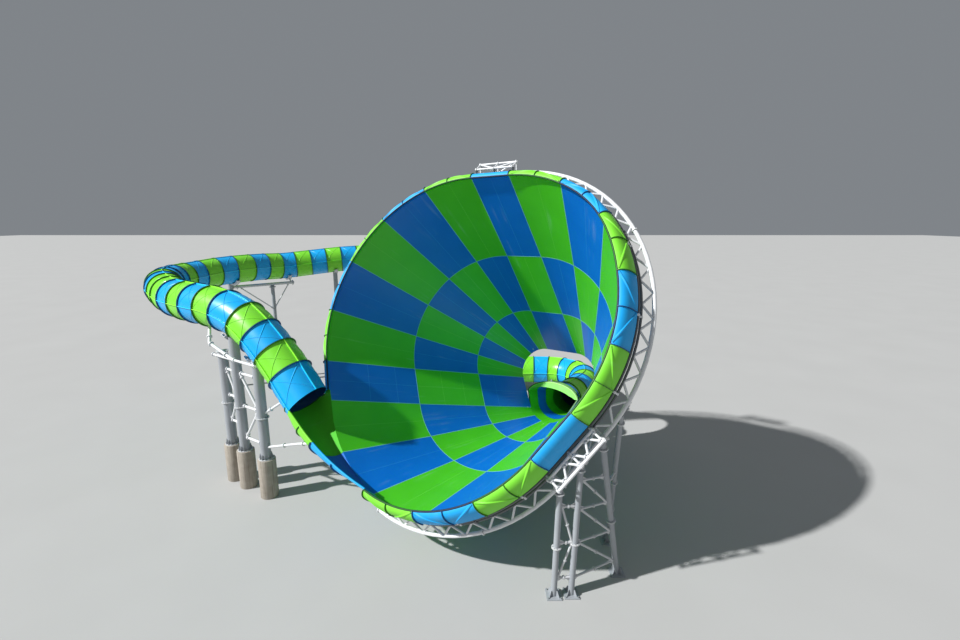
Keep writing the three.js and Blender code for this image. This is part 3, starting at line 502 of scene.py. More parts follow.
tie = Piece()
run = (COLUMN_PLACES["c"] - COLUMN_PLACES["a"]).normalized()
beside = Vector((run.y, -run.x, 0)) * (COLUMN_RADIUS + STRUT_RADIUS * 0.8) + UPWARD * TIE_HEIGHT
tie_start = COLUMN_PLACES["a"] + beside - run * 0.5
member(tie, tie_start, COLUMN_PLACES["c"] + beside + run * 0.5, STRUT_RADIUS, WHITE_STEEL, (0.02, 0.52, 0.98))
arm_foot = tie_start + run * ARM_FOOT
member(tie, arm_foot, ARM_KNEE, ARM_RADIUS, WHITE_STEEL, (0.3, 0.93))
arm_end = ARM_TOP - (ARM_TOP - ARM_KNEE).normalized() * ARM_SHORT
member(tie, ARM_KNEE, arm_end, ARM_RADIUS, WHITE_STEEL, (0.3,))
for spot in (ARM_KNEE, arm_foot):
    elbow(tie, spot, ARM_RADIUS)
for spot in COLUMN_PLACES.values():
    clamp(tie, spot + beside, spot)
tie.fit("column_tie_and_arm_pipes", "column_tie_and_arm", "white_steel")

for place, letters, heights in (("rear", "ab", (4.2, 5.9, 7.6)), ("front", "bc", (3.4, 5.5, 7.6))):
    panel = Piece()
    lines = [line_of(letter) for letter in letters]
    braced_panel(panel, lines, [COLUMN_RADIUS] * 2, heights, WHITE_STEEL, COLUMN_BRACE_RADIUS)
    panel.fit(f"column_bracing_{place}_pipes", f"column_bracing_{place}", "white_steel")

END_STRUT_HEIGHT = 5.3
END_STRUT_SHARE = 0.985
CHUTE_STRUT_HEIGHT = 3.2
CHUTE_STRUT_KNEE = Vector((-2.26, -11.158, 4.05))
CHUTE_STRUT_AIM = (1, 229, 8.3, 1.0)


def off_column(height, aim):
    """Where a strut that aims at a point leaves the front column's skin, and the way it runs."""
    spot = COLUMN_PLACES["c"] + UPWARD * height
    towards = (aim - spot).normalized()
    return spot + towards * (COLUMN_RADIUS - 0.02), towards


end_strut = Piece()
target = INLET.place(INLET.length * END_STRUT_SHARE).translation
start, towards = off_column(END_STRUT_HEIGHT, target)
held = target - towards * (TUBE_RADIUS + 0.02)
member(end_strut, start, held, STRUT_RADIUS, WHITE_STEEL, (0.3,))
pad = turned_round(held - towards * 0.03, held + towards * 0.03, STRUT_RADIUS * 2.2, 32, 0.004)
end_strut.add(pad, WHITE_STEEL)
end_strut.fit("tube_end_strut_pipe", "tube_end_strut", "white_steel")

# Funnel setting out. The funnel is a rounded triangle in section: three flat strips of panels join three
# arcs, and each arc turns about a centre of its own. Everything on it is set out from these places.
MOUTH_CENTRE = Vector((6.59, -11.978, 11.29))
MOUTH_TILT = radians(28)
MOUTH_TURN = radians(35.1)
MOUTH_ROLL = radians(1.06)
STRIP_WIDTH = 2.534
ARC_STARTS = (90, 210, 330)
ARC_CENTRES = (150, 270, 30)
COLUMN_ANGLE = 12
ARC_COLUMNS = 10


def funnel_place():
    out = Vector((-cos(MOUTH_TILT) * sin(MOUTH_TURN), -cos(MOUTH_TILT) * cos(MOUTH_TURN), sin(MOUTH_TILT)))
    right = Vector((cos(MOUTH_TURN), -sin(MOUTH_TURN), 0))
    right.rotate(Quaternion(out, MOUTH_ROLL))
    return set_square(MOUTH_CENTRE, right, out.cross(right), out)


def facing(place):
    """The way a place faces, along its Z."""
    return place.to_3x3() @ UPWARD


FUNNEL = funnel_place()
OUTWARD = facing(FUNNEL)


def station(arc, angle):
    """A half plane through an arc's centre line: X is the radius, Y the depth, 0 at the mouth."""
    arc = arc % 3
    centre = radians(ARC_CENTRES[arc])
    spot = Vector((cos(centre), sin(centre), 0)) * STRIP_WIDTH / sqrt(3)
    swing = Matrix.Rotation(radians(angle), 4, "Z") @ Matrix.Rotation(pi / 2, 4, "X")
    return FUNNEL @ Matrix.Translation(spot) @ swing


def stations(first, last, fine=3):
    """Places round the section from one column to another: ten columns to an arc, then a strip."""
    places = []
    for column in range(first, last):
        arc, step = divmod(column, ARC_COLUMNS + 1)
        shares = range(fine) if step < ARC_COLUMNS else (0,)
        for share in shares:
            places.append(station(arc, ARC_STARTS[arc % 3] + COLUMN_ANGLE * (step + share / fine)))
    places.append(at_column(last))
    return places


def at_column(column):
    """The place at a column, or part of the way over one of an arc's."""
    arc, step = divmod(column, ARC_COLUMNS + 1)
    return station(int(arc), ARC_STARTS[int(arc) % 3] + COLUMN_ANGLE * step)


def placed(place, points):
    """Flat points carried into a place."""
    return [place @ Vector((*point, 0)) for point in points]


def on_section(arc, angle, radius, depth):
    return station(arc, angle) @ Vector((radius, depth, 0))


def on_strip(arc, along, radius, depth):
    """A point over a flat strip, from -1 at one end of its width to 1 at the other."""
    here, there = [on_section(end, ARC_STARTS[(arc + 1) % 3], radius, depth) for end in (arc, arc + 1)]
    return here.lerp(there, (along + 1) / 2)


def strip_places(arc, count):
    """Places along a flat strip, ends included."""
    here, there = [station(end, ARC_STARTS[(arc + 1) % 3]) for end in (arc, arc + 1)]
    shift = there.translation - here.translation
    return [Matrix.Translation(shift * step / count) @ here for step in range(count + 1)]


chute_strut = Piece()
start, towards = off_column(CHUTE_STRUT_HEIGHT, CHUTE_STRUT_KNEE)
member(chute_strut, start, CHUTE_STRUT_KNEE, STRUT_RADIUS, WHITE_STEEL, (0.55,))
chute_end = CHUTE_STRUT_KNEE.lerp(on_section(*CHUTE_STRUT_AIM), 0.5)
member(chute_strut, CHUTE_STRUT_KNEE, chute_end, STRUT_RADIUS, WHITE_STEEL)
elbow(chute_strut, CHUTE_STRUT_KNEE, STRUT_RADIUS)
chute_strut.fit("chute_strut_pipe", "chute_strut", "white_steel")

# Tower. Four steel pipes hold up the lower right of the ring truss: two upright legs, a raked leg and a thin
# strut behind. Ladders of smaller pipe, bolted through round splice discs, brace them to each other, and
# each foot has a square base plate with anchor bolts and gussets.
OUTER_CHORD = (8.87, -0.95)
FRAME_STRIP = 1
LEG_FEET = [(11.59, -17.978), (12.39, -17.908), (14.84, -16.558)]
LEG_STATIONS = (-1.25, -0.15, 0.93)
REAR_FOOT = (14.99, -14.258)
REAR_ANGLE = 338
LEG_RADIUS = 0.14
BASE_SIZE = 0.7
BASE_THICK = 0.04


def base_plate(piece, spot, radius, size=BASE_SIZE):
    """A square base plate on the ground, with anchor bolts near its corners and upright gussets."""
    slab = bmesh.new()
    place = Matrix.Translation(spot + UPWARD * BASE_THICK / 2) @ Matrix.Diagonal((size, size, BASE_THICK, 1))
    bmesh.ops.create_cube(slab, size=1, matrix=place)
    eased(slab, slab.edges[:], 0.005, 1)
    piece.add(slab, GREY_STEEL)
    reach = size * 0.4
    corners = [spot + Vector((x * reach, y * reach, BASE_THICK + 0.03)) for x in (-1, 1) for y in (-1, 1)]
    bolts(piece, corners, UPWARD, 0.08, ANCHOR_RADIUS)
    gussets(piece, spot + UPWARD * BASE_THICK, radius, size * 0.28, size * 0.4, 4)


def footed(piece, foot, top, radius, joints, short=0.0, sides=32, count=8, wide=1.6):
    """A grey pipe on its base plate, with bolted joints at some shares of its length."""
    pipe(piece, foot, top - (top - foot).normalized() * short, radius, GREY_STEEL, sides)
    for share in joints:
        bolted_joint(piece, foot.lerp(top, share), top - foot, radius, PALE_STEEL, count, wide)
    base_plate(piece, foot, radius)


def leg_lines():
    """Foot and top of each tower leg: the tops are on the outer chord of the ring truss."""
    tops = [on_strip(FRAME_STRIP, along, *OUTER_CHORD) for along in LEG_STATIONS]
    tops.append(on_section(2, REAR_ANGLE, *OUTER_CHORD))
    return [(Vector((x, y, 0)), top) for (x, y), top in zip([*LEG_FEET, REAR_FOOT], tops)]


LEG_NODES = {"left": "tower_leg_left", "middle": "tower_leg_middle", "right": "tower_leg_right",
             "rear": "tower_rear_strut"}
LEG_COLLARS = {"left": (0.45, 0.93), "middle": (0.4, 0.94), "right": (0.42, 0.93), "rear": (0.30, 0.52, 0.94)}
LEGS = dict(zip(LEG_NODES, leg_lines()))
LEG_RADII = dict.fromkeys(LEGS, LEG_RADIUS)
LEG_RADII["rear"] *= 0.85

for place, line in LEGS.items():
    leg = Piece()
    footed(leg, *line, LEG_RADII[place], LEG_COLLARS[place], 0.10)
    leg.fit(f"{LEG_NODES[place]}_pipe", LEG_NODES[place], "grey_steel")

TOWER_PANELS = {
    "front": ("left", "middle", [0.9, 2.7, 4.5]),
    "right": ("middle", "right", [0.85, 2.65, 4.3, 5.7]),
    "rear": ("right", "rear", [0.9, 3.0, 5.2]),
}
for place, (first, second, heights) in TOWER_PANELS.items():
    panel = Piece()
    lines, radii = [[table[leg] for leg in (first, second)] for table in (LEGS, LEG_RADII)]
    braced_panel(panel, lines, radii, heights, PALE_STEEL, BRACE_RADIUS, (0.5,), place != "right")
    panel.fit(f"tower_bracing_{place}_pipes", f"tower_bracing_{place}", "grey_steel")

# Far columns. Plain steel pipes under the run of tube behind the funnel, each with a saddle on its head. A
# beam between two of them is held in the middle by a post with knee braces.
FAR_PLACES = {
    "far_column_left": (-16.21, 9.942), "far_column_right": (-7.71, 16.042),
    "start_column": (-4.46, 17.292),
}
FAR_RADIUS = 0.23
FAR_BEAM_HEIGHT = 10.15
FAR_BEAM_END = (-11.46, 13.742)
FAR_POST = (-13.16, 12.372)
KNEE_DROP = 2.6
SADDLE_SHARE = 0.205

for node, (x, y) in FAR_PLACES.items():
    column = Piece()
    foot = Vector((x, y, 0))
    top = Vector((x, y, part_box(node)[1][2]))
    footed(column, foot, top, FAR_RADIUS, (0.5,), sides=36, count=12, wide=1.35)
    saddle(column, foot)
    column.fit(f"{node}_pipe", node, "grey_steel")

beam = Piece()
beam_start = Vector((*FAR_PLACES["far_column_left"], FAR_BEAM_HEIGHT))
beam_end = Vector((*FAR_BEAM_END, FAR_BEAM_HEIGHT))
beam_skin = beam_start + (beam_end - beam_start).normalized() * FAR_RADIUS
member(beam, beam_skin, beam_end, STRUT_RADIUS * 2, PALE_STEEL, (0.06, 0.98))
post_heights = (0, FAR_BEAM_HEIGHT - KNEE_DROP, FAR_BEAM_HEIGHT - STRUT_RADIUS * 2)
post_foot, knee, post_top = [Vector((*FAR_POST, height)) for height in post_heights]
member(beam, post_foot, post_top, FAR_RADIUS * 0.8, GREY_STEEL, (0.5, 0.985))
base_plate(beam, post_foot, FAR_RADIUS * 0.8)
for share in (0.92, 0.12):
    member(beam, knee, beam_start.lerp(beam_end, share), BRACE_RADIUS, PALE_STEEL, (0.08, 0.92))
prop_foot = beam_start.lerp(beam_end, 0.96)
prop_aim = INLET.place(INLET.length * SADDLE_SHARE).translation
prop_top = prop_aim - (prop_aim - prop_foot).normalized() * (TUBE_RADIUS + 0.1)
pipe(beam, prop_foot, prop_top, STRUT_RADIUS, PALE_STEEL)
saddle(beam, Vector((prop_top.x, prop_top.y, 0)))
beam.fit("far_beam_and_post_pipes", "far_beam_and_post", "grey_steel")

# Ring truss. A ring of bent pipe behind the lip keeps the funnel's mouth in shape: two inner chords in
# painted shade side by side, one white outer chord and a zigzag web between them, made in lengths and bolted
# through flanges.
# Short brackets join the inner chords to the back of the lip.
INNER_CHORDS = ((8.345, -0.33), (8.40, -0.60))
INNER_RADIUS = 0.06
OUTER_RADIUS = 0.10
WEB_RADIUS = 0.055
WEB_PITCH = 8
WEB_END_ANGLE = 0.8
ARC_SWEEP = COLUMN_ANGLE * ARC_COLUMNS
# Near-black finish: painted shade on the ring truss's inner chords, and dark paint on the top truss's clamped
# feet.
DARK_STEEL_AND_SHADE = steel_paint("dark_chord_paint_and_shade", (0.17, 0.18, 0.19), (0.11, 0.115, 0.125), 0.25)


def rounded(radius, centre, sides):
    """A round section of bent pipe, in the radius and depth of a station."""
    turns = [tau * step / sides for step in range(sides)]
    return [(centre[0] + radius * cos(turn), centre[1] + radius * sin(turn)) for turn in turns]


def bent_pipe(piece, centre, radius, first, last, finish, sides=14):
    piece.add(swept(rounded(radius, centre, sides), stations(first, last)), finish)


def chord_joint(piece, column, centre, radius, finish, wide=1.5):
    """A flange joint on a bent chord."""
    place = at_column(column)
    bolted_joint(piece, *placed(place, [centre]), facing(place), radius, finish, 8, wide)


def web(piece, arc, first_angle, last_angle):
    """The zigzag between the inner and outer chords over one arc."""
    for step in range(ARC_SWEEP // WEB_PITCH):
        middle = (step + 0.5) * WEB_PITCH
        if first_angle < middle < last_angle:
            outer = on_section(arc, ARC_STARTS[arc] + middle, *OUTER_CHORD)
            for angle in (step * WEB_PITCH, (step + 1) * WEB_PITCH):
                angle = min(max(angle, WEB_END_ANGLE), ARC_SWEEP - WEB_END_ANGLE)
                inner = on_section(arc, ARC_STARTS[arc] + angle, *INNER_CHORDS[1])
                pipe(piece, inner, outer, WEB_RADIUS, WHITE_STEEL, 14)


LUG_SPOT = (8.345, -0.06)
LUG = ((8.255, -0.045), (8.455, -0.045), (8.435, -0.2), (8.285, -0.2))


def bracket(piece, column):
    """A stub pipe across the inner chords and a bolted plate against the back of the lip."""
    place = at_column(column)
    near, far, back = placed(place, (*INNER_CHORDS, LUG_SPOT))
    pipe(piece, far, near, INNER_RADIUS * 0.8, WHITE_STEEL, 12)
    pipe(piece, near, back, INNER_RADIUS * 0.6, WHITE_STEEL, 12)
    along = facing(place) * 0.05
    for spot in (near, far):
        piece.add(turned_round(spot - along, spot + along, INNER_RADIUS * 1.3, 16), WHITE_STEEL)
    piece.add(plate(LUG, place, THIN_PLATE), WHITE_STEEL)


TRUSS_PARTS = {
    "bottom": (1, 15, 22, 48, 120, (15, 18.5)),
    "right": (2, 22, 33, 0, 120, (22, 27.5)),
    "top_left": (0, 33, 43, 0, 112, (33, 36, 40)),
}

for place, (arc, first, last, first_angle, last_angle, joints) in TRUSS_PARTS.items():
    truss = Piece()
    for chord in INNER_CHORDS:
        bent_pipe(truss, chord, INNER_RADIUS, first, last, DARK_STEEL_AND_SHADE)
    bent_pipe(truss, OUTER_CHORD, OUTER_RADIUS, first, last, WHITE_STEEL, 20)
    web(truss, arc, first_angle, last_angle)
    for column in range(first + 1, last, 2):
        bracket(truss, column)
    for column in joints:
        chord_joint(truss, column, OUTER_CHORD, OUTER_RADIUS, WHITE_STEEL)
        for chord in INNER_CHORDS:
            chord_joint(truss, column, chord, INNER_RADIUS, DARK_STEEL_AND_SHADE, 1.7)
    truss.fit(f"ring_truss_{place}_pipes", f"ring_truss_{place}", "white_steel")

# Box frame. Four straight chords over the lower right strip make a box round the ring truss, in two bays,
# with a zigzag in its front face. The three tower legs are bolted up into it.
BOX_CHORDS = ((8.80, -1.68), (8.23, -1.30), (8.54, -0.30), (9.15, -0.40))
LOW, BACK, FRONT_IN, FRONT_OUT = BOX_CHORDS
BOX_OVERHANG = 0.1
BOX_ENDS = (LEG_STATIONS[0] - BOX_OVERHANG, LEG_STATIONS[-1] + BOX_OVERHANG)
BOX_POSTS = (
    (LOW, BACK, (0.2, 0.8)), (LOW, OUTER_CHORD, (0.25, 0.8)), (BACK, INNER_CHORDS[1], (0.5,)),
    (FRONT_IN, FRONT_OUT, (0.22, 0.78)), (FRONT_IN, INNER_CHORDS[0], ()), (FRONT_OUT, OUTER_CHORD, (0.4,)),
)
FRONT_WEB_STEPS = 3


def box_brace(piece, start, end, joints, radius=BRACE_RADIUS):
    """A pipe of the frame between two spots, each a place along the strip and a chord."""
    spots = [on_strip(FRAME_STRIP, along, *chord) for along, chord in (start, end)]
    member(piece, *spots, radius, WHITE_STEEL, joints)


def box_bay(piece, first, second):
    """The slanting braces of one bay."""
    box_brace(piece, (first, LOW), (second, BACK), (0.15, 0.85))
    box_brace(piece, (second, LOW), (lerp(first, second, 0.1), OUTER_CHORD), (0.15, 0.85))
    for step in range(FRONT_WEB_STEPS):
        here, there = [lerp(first, second, (step + side) / FRONT_WEB_STEPS) for side in (0, 1)]
        start, end = (FRONT_OUT, FRONT_IN) if step % 2 else (FRONT_IN, FRONT_OUT)
        box_brace(piece, (here, start), (there, end), (0.2, 0.8))


frame_box = Piece()
for chord in BOX_CHORDS:
    start, end = [(along, chord) for along in BOX_ENDS]
    box_brace(frame_box, start, end, (0.02, 0.485, 0.515, 0.98), BRACE_RADIUS * 1.3)
for along in LEG_STATIONS:
    for start, end, joints in BOX_POSTS:
        box_brace(frame_box, (along, start), (along, end), joints)
    elbow(frame_box, on_strip(FRAME_STRIP, along, *LOW), BRACE_RADIUS * 1.45)
for first, second in zip(LEG_STATIONS, LEG_STATIONS[1:]):
    box_bay(frame_box, first, second)
frame_box.fit("tower_box_frame_pipes", "tower_box_frame", "white_steel")

# Top truss. A short three-sided truss that stands on the outer chord at the top strip, left from lifting the
# ring into place. White pipe with dark clamped feet.
TOP_STRIP = 2
TOP_CENTRE = 0.38
TOP_APEX = (9.62, -0.95)
TOP_BASE = ((9.13, -0.69), (9.13, -1.21))
TOP_RADIUS = BRACE_RADIUS * 0.8
TOP_ENDS = (-1.05, 1.05)


def top_spot(along, corner):
    return on_strip(TOP_STRIP, TOP_CENTRE + along, *corner)


top = Piece()
for corner in (*TOP_BASE, TOP_APEX):
    ends = [top_spot(along, corner) for along in TOP_ENDS]
    member(top, *ends, TOP_RADIUS * 1.2, WHITE_STEEL, (0.03, 0.5, 0.97))
for along in (-1, 0, 1):
    apex, chord, *feet = [top_spot(along, corner) for corner in (TOP_APEX, OUTER_CHORD, *TOP_BASE)]
    for foot in feet:
        pipe(top, foot, apex, TOP_RADIUS, WHITE_STEEL, 14)
        pipe(top, foot, chord, TOP_RADIUS, DARK_STEEL_AND_SHADE, 14)
        pipe(top, foot.lerp(chord, 0.15), foot.lerp(chord, 0.45), TOP_RADIUS * 1.9, DARK_STEEL_AND_SHADE, 16)
    pipe(top, *feet, TOP_RADIUS, WHITE_STEEL, 14)
for along in (-1, 1):
    for corner in TOP_BASE:
        pipe(top, top_spot(0, corner), top_spot(along, TOP_APEX), TOP_RADIUS, WHITE_STEEL, 14)
top.fit("top_truss_pipes", "top_truss", "white_steel")

# Small end's frame. A ring of pipe round the small end of the funnel, bolted down on two steel columns.
THROAT_RING = (1.965, -14.45)
THROAT_RING_RADIUS = 0.09
THROAT_LUG = ((1.86, -14.62), (1.94, -14.56), (1.94, -14.34), (1.86, -14.28))
RING_JOINTS = (3, 11, 19, 27)
ALL_COLUMNS = 3 * (ARC_COLUMNS + 1)

ring = Piece()
bent_pipe(ring, THROAT_RING, THROAT_RING_RADIUS, 0, ALL_COLUMNS, WHITE_STEEL, 18)
for column in RING_JOINTS:
    chord_joint(ring, column, THROAT_RING, THROAT_RING_RADIUS, WHITE_STEEL)
for column in range(1, ALL_COLUMNS, 3):
    ring.add(plate(THROAT_LUG, at_column(column), THIN_PLATE), WHITE_STEEL)
ring.fit("throat_ring_pipe", "throat_ring", "white_steel")

for side, strip in (("left", 0), ("right", 1)):
    post = Piece()
    crown = on_strip(strip, 0, THROAT_RING[0] + LEG_RADIUS, THROAT_RING[1])
    footed(post, Vector((crown.x, crown.y, 0)), crown, LEG_RADIUS, (0.5, 0.93), 0.05)
    post.fit(f"throat_column_{side}_pipe", f"throat_column_{side}", "grey_steel")

# Funnel shell. Three rows of moulded glass-fibre panels, blue and green by turns, eighteen to a row. Each
# panel is a thin curved sheet, smooth and glossy inside. Outside it has flanges on all four edges, bolted to
# its neighbours, and stiffening ribs. Pale sealant fills the joints on the riding side.
ROW_RADII = (8.0, 5.728, 3.553, 1.723)
ROW_DEPTHS = (0, 5.622, 10.581, 14.696)
SHEET = 0.016
JOINT = 0.006
FLANGE = 0.085
FLANGE_THICK = 0.012
BEAD = 0.017
BEAD_PROUD = 0.006
RIB_HEIGHT = 0.05
RIB_THICK = 0.07
SEAM_BEAD = 0.008
SEAM_PROUD = 0.003
BOLT_PITCH = 0.35
PANEL_BOLT_LENGTH = 0.075
PANEL_BOLT_RADIUS = 0.013
THIRDS = (("left", 0, 6), ("bottom", 6, 12), ("right", 12, 18))
ROW_NODES = {
    "mouth_row": (("top_left", 0, 3), ("left", 3, 6), ("lower_left", 6, 9), ("bottom", 9, 12),
                  ("right", 12, 15), ("top", 15, 18)),
    "middle_row": THIRDS,
    "throat_row": THIRDS,
}


def unturned(matrix):
    """The turn and shift that undo a place, as a Mapping node takes them."""
    back = matrix.inverted()
    return back.to_euler(), back.translation


def gel_coat(name, base, deep, gloss=0.22):
    """Polished gel coat: slow shifts of tone, drying marks down the slope, and fine swirl scratches."""
    finish = Finish(name)
    turn, shift = unturned(FUNNEL)
    local = finish.node("ShaderNodeMapping", {"Vector": finish.place, "Location": shift, "Rotation": turn})
    x, y, z = [finish.node("ShaderNodeSeparateXYZ", {"Vector": local}, output=axis) for axis in range(3)]
    around = y.maths("ARCTAN2", y, x)
    down = finish.node("ShaderNodeCombineXYZ", {"X": around * 26.0, "Y": z * 0.25, "Z": 0.0})
    marks = finish.node("ShaderNodeTexNoise", {"Vector": down, "Scale": 1.0, "Detail": 5.0})
    clouds = finish.noise(1.6, 4)
    swirl = finish.noise(0.05, 5)
    tone = finish.mix(clouds, deep, base)
    chalk = finish.band(marks, 0.55, 0.8) * finish.band(clouds, 0.4, 0.65) * 0.16
    colour = finish.mix(chalk, tone, (0.55, 0.62, 0.62))
    finish.surface(colour, gloss + clouds * 0.14 + swirl * 0.06, clouds * 0.6 + swirl * 0.08, 0.010)
    return finish.material


def sealant_bead(name, pale, dusty):
    finish = Finish(name)
    clouds = finish.noise(0.25, 5)
    finish.surface(finish.mix(clouds, dusty, pale), 0.45 + clouds * 0.25, clouds, 0.002)
    return finish.material


def two_tones(make, name, blue, green, *rest):
    """The blue and the green of a finish, each given as its light and its deep tone."""
    return {tone: make(name.format(tone), *pair, *rest) for tone, pair in (("blue", blue), ("green", green))}


INSIDE = two_tones(
    gel_coat, "inside_{}_gel", ((0.003, 0.175, 0.68), (0.002, 0.135, 0.56)),
    ((0.085, 0.60, 0.014), (0.062, 0.49, 0.010)),
)
OUTSIDE = two_tones(
    gel_coat, "outside_{}_gel", ((0.004, 0.44, 0.90), (0.004, 0.36, 0.80)),
    ((0.235, 0.78, 0.040), (0.185, 0.67, 0.030)),
)
# Flange finishes: darkened copies of the panel colours, painted shade for the shaded faces of raised flanges
# and the bolts through the lip's flanges.
FLANGE_SHADE = two_tones(
    gel_coat, "{}_flange_gel", ((0.004, 0.085, 0.25), (0.003, 0.06, 0.18)),
    ((0.03, 0.19, 0.008), (0.02, 0.14, 0.006)), 0.4,
)
SEALANT = sealant_bead("pale_sealant", (0.26, 0.66, 0.46), (0.17, 0.52, 0.42))
SEAM = two_tones(
    sealant_bead, "{}_panel_seam", ((0.03, 0.33, 0.78), (0.02, 0.26, 0.70)),
    ((0.20, 0.70, 0.08), (0.15, 0.62, 0.06)),
)


def cell_columns(cell):
    """First and last column of a cell: five of two columns to an arc, then one strip."""
    arc, step = divmod(cell, 6)
    first = arc * (ARC_COLUMNS + 1) + 2 * step
    return first, first + (2 if step < 5 else 1)


def cell_tone(row, cell):
    return "green" if (row + cell % 6) % 2 == 0 else "blue"


def funnel_axis(point):
    """The point of the funnel's axis abreast of a point on its shell."""
    local = FUNNEL.inverted() @ point
    return FUNNEL @ Vector((0, 0, local.z))


def add_two_faced(piece, shape, inside, outside, centre=None):
    """Take a shell with one finish towards a centre, or the funnel's axis, and another away from it."""
    bmesh.ops.recalc_face_normals(shape, faces=shape.faces[:])
    for face in shape.faces:
        spot = face.calc_center_median()
        inward = face.normal.dot((centre or funnel_axis(spot)) - spot) > 0
        face.material_index = piece.number(inside if inward else outside)
    piece.take(shape)


def lengthwise(row, radius_out=0.0, trim=0.0):
    """The two ends of a straight line down a row's panel, in radius and depth."""
    start = Vector((ROW_RADII[row] + radius_out, -ROW_DEPTHS[row]))
    end = Vector((ROW_RADII[row + 1] + radius_out, -ROW_DEPTHS[row + 1]))
    step = (end - start).normalized() * trim
    return start + step, end - step


def raised(row, base, height, trim):
    """The outline of a sheet, fin or bead over a row's panel, from one height over it to another."""
    start, end = lengthwise(row, base, trim)
    return [start, (start.x + height, start.y), (end.x + height, end.y), end]


def upright_fin(piece, row, place, height, thick, finish, trim=0.03):
    """A flange or rib that runs down the outside of a row, square to the sheet."""
    piece.add(plate(raised(row, SHEET, height, trim), place, thick), finish)


def line_bolts(piece, row, place):
    """Bolts through a pair of panel flanges, evenly down a row."""
    start, end = lengthwise(row, SHEET + FLANGE * 0.6, 0.2)
    count = int((end - start).length / BOLT_PITCH)
    spots = placed(place, [start.lerp(end, step / count) for step in range(count + 1)])
    bolts(piece, spots, facing(place), PANEL_BOLT_LENGTH, PANEL_BOLT_RADIUS)


def joint_line(piece, row, place, half, proud, finish, trim=0.0):
    """A bead down a joint on the riding side."""
    piece.add(plate(raised(row, -proud, proud + 0.006, trim), place, half * 2), finish)


def ring_outline(row, side, under, over, low, high):
    """A thin ring across the shell at one end of a row, from one height over the sheet to another."""
    start, end = lengthwise(row)
    slope = (end - start).normalized()
    out = Vector((-slope.y, slope.x))
    corners = ((low, under), (low, over), (high, over), (high, under))
    return [(start, end)[side] + slope * along + out * height for along, height in corners]


def row_panel(piece, row, cell):
    """One cell with its flanges, ribs, bolts and the seams on its riding side."""
    first, last = cell_columns(cell)
    tone = cell_tone(row, cell)
    places = stations(first, last)
    sheet = swept(raised(row, 0, SHEET, JOINT), places)
    add_two_faced(piece, sheet, INSIDE[tone], OUTSIDE[tone])
    for place, side in ((places[0], 1), (places[-1], -1)):
        inset = place @ Matrix.Translation((0, 0, -side * (FLANGE_THICK / 2 + 0.001)))
        upright_fin(piece, row, inset, FLANGE, FLANGE_THICK, OUTSIDE[tone])
    line_bolts(piece, row, places[0])
    middle = at_column(first + 1) if last - first == 2 else strip_places(first // (ARC_COLUMNS + 1), 2)[1]
    upright_fin(piece, row, middle, RIB_HEIGHT, RIB_THICK, OUTSIDE[tone], 0.12)
    joint_line(piece, row, places[0], BEAD, BEAD_PROUD, SEALANT)
    joint_line(piece, row, middle, SEAM_BEAD, SEAM_PROUD, SEAM[tone], 0.05)
    for side, low, high in ((0, 0.002, 0.002 + FLANGE_THICK), (1, -0.002 - FLANGE_THICK, -0.002)):
        piece.add(swept(ring_outline(row, side, 0.008, FLANGE + SHEET, low, high), places), OUTSIDE[tone])
    if row:
        piece.add(swept(ring_outline(row, 0, -BEAD_PROUD, 0.006, -BEAD, BEAD), places), SEALANT)
        row_bolts(piece, row, places)


def row_bolts(piece, row, places):
    """Bolts through the ring flanges between two rows, along one cell."""
    start, _ = lengthwise(row, SHEET + FLANGE * 0.6)
    ends = [place @ Vector((*start, 0)) for place in (places[0], places[-1])]
    count = max(2, round((ends[1] - ends[0]).length / BOLT_PITCH))
    shares = [(step + 0.5) / count for step in range(count)]
    if len(places) == 2:
        spots = [ends[0].lerp(ends[1], share) for share in shares]
    else:
        centre = places[0].translation + OUTWARD * start.y
        turns = [Quaternion(OUTWARD, radians(2 * COLUMN_ANGLE) * share) for share in shares]
        spots = [centre + turn @ (ends[0] - centre) for turn in turns]
    bolts(piece, spots, OUTWARD, PANEL_BOLT_LENGTH, PANEL_BOLT_RADIUS)


LANDING_CELL = 5
LANDING_JOINTS = ((0.42, 0.74), (0.37, 0.70), (0.31,))


def cross_seam(piece, row, cell, share):
    """A thin seam across a cell, where its panel is made in lengths."""
    start, end = lengthwise(row)
    spot = start.lerp(end, share)
    slope = (end - start).normalized() * SEAM_BEAD
    out = Vector((slope.y, -slope.x)) * 0.4
    outline = [spot - slope - out, spot - slope + out, spot + slope + out, spot + slope - out]
    piece.add(swept(outline, stations(*cell_columns(cell))), SEAM[cell_tone(row, cell)])


for row, (prefix, segments) in enumerate(ROW_NODES.items()):
    for order, (place, first, last) in enumerate(segments):
        shell = Piece()
        for cell in range(first, last):
            row_panel(shell, row, cell)
            for share in LANDING_JOINTS[row] if cell == LANDING_CELL else ():
                cross_seam(shell, row, cell, share)
        slot = "green_panel" if (order + row) % 2 else "blue_panel"
        shell.fit(f"{prefix}_{place}_panels", f"{prefix}_{place}", slot)

# Rim lip. A rolled moulding bolted in front of the mouth, curled outwards and back to the ring truss. Two
# mouldings to a cell meet in raised flanges, and a folded rib crosses each of them from corner to corner. The
# lip is low at the left and the top, and rises over the upper right to its full height.
MOUTH_RADIUS = ROW_RADII[0]
LIP_DEPTHS = (0.85, 0.15)
LIP_NOSES = (8.235, 8.285)
LIP_FALL = (26, 30)
LIP_LEAN = 0.2824
LIP_BACK = Vector((8.385, -0.045))
LIP_SHEET = 0.02
LIP_FLANGE = 0.06
LIP_FLANGE_THICK = 0.026
LIP_FOLD = ((-0.07, -0.012), (-0.018, 0.035), (0.018, 0.035), (0.07, -0.012))
LIP_PARTS = {"bottom": (8, 12), "right": (12, 18), "left": (0, 6)}
LIP_STEPS = 4
LIP_FACE = two_tones(
    gel_coat, "{}_lip_gel", ((0.003, 0.41, 0.87), (0.003, 0.33, 0.77)),
    ((0.22, 0.76, 0.038), (0.175, 0.65, 0.028)), 0.44,
)
EDGE_STEP = 0.05
EDGE_SHIFT = Vector((0.036, 0.03))
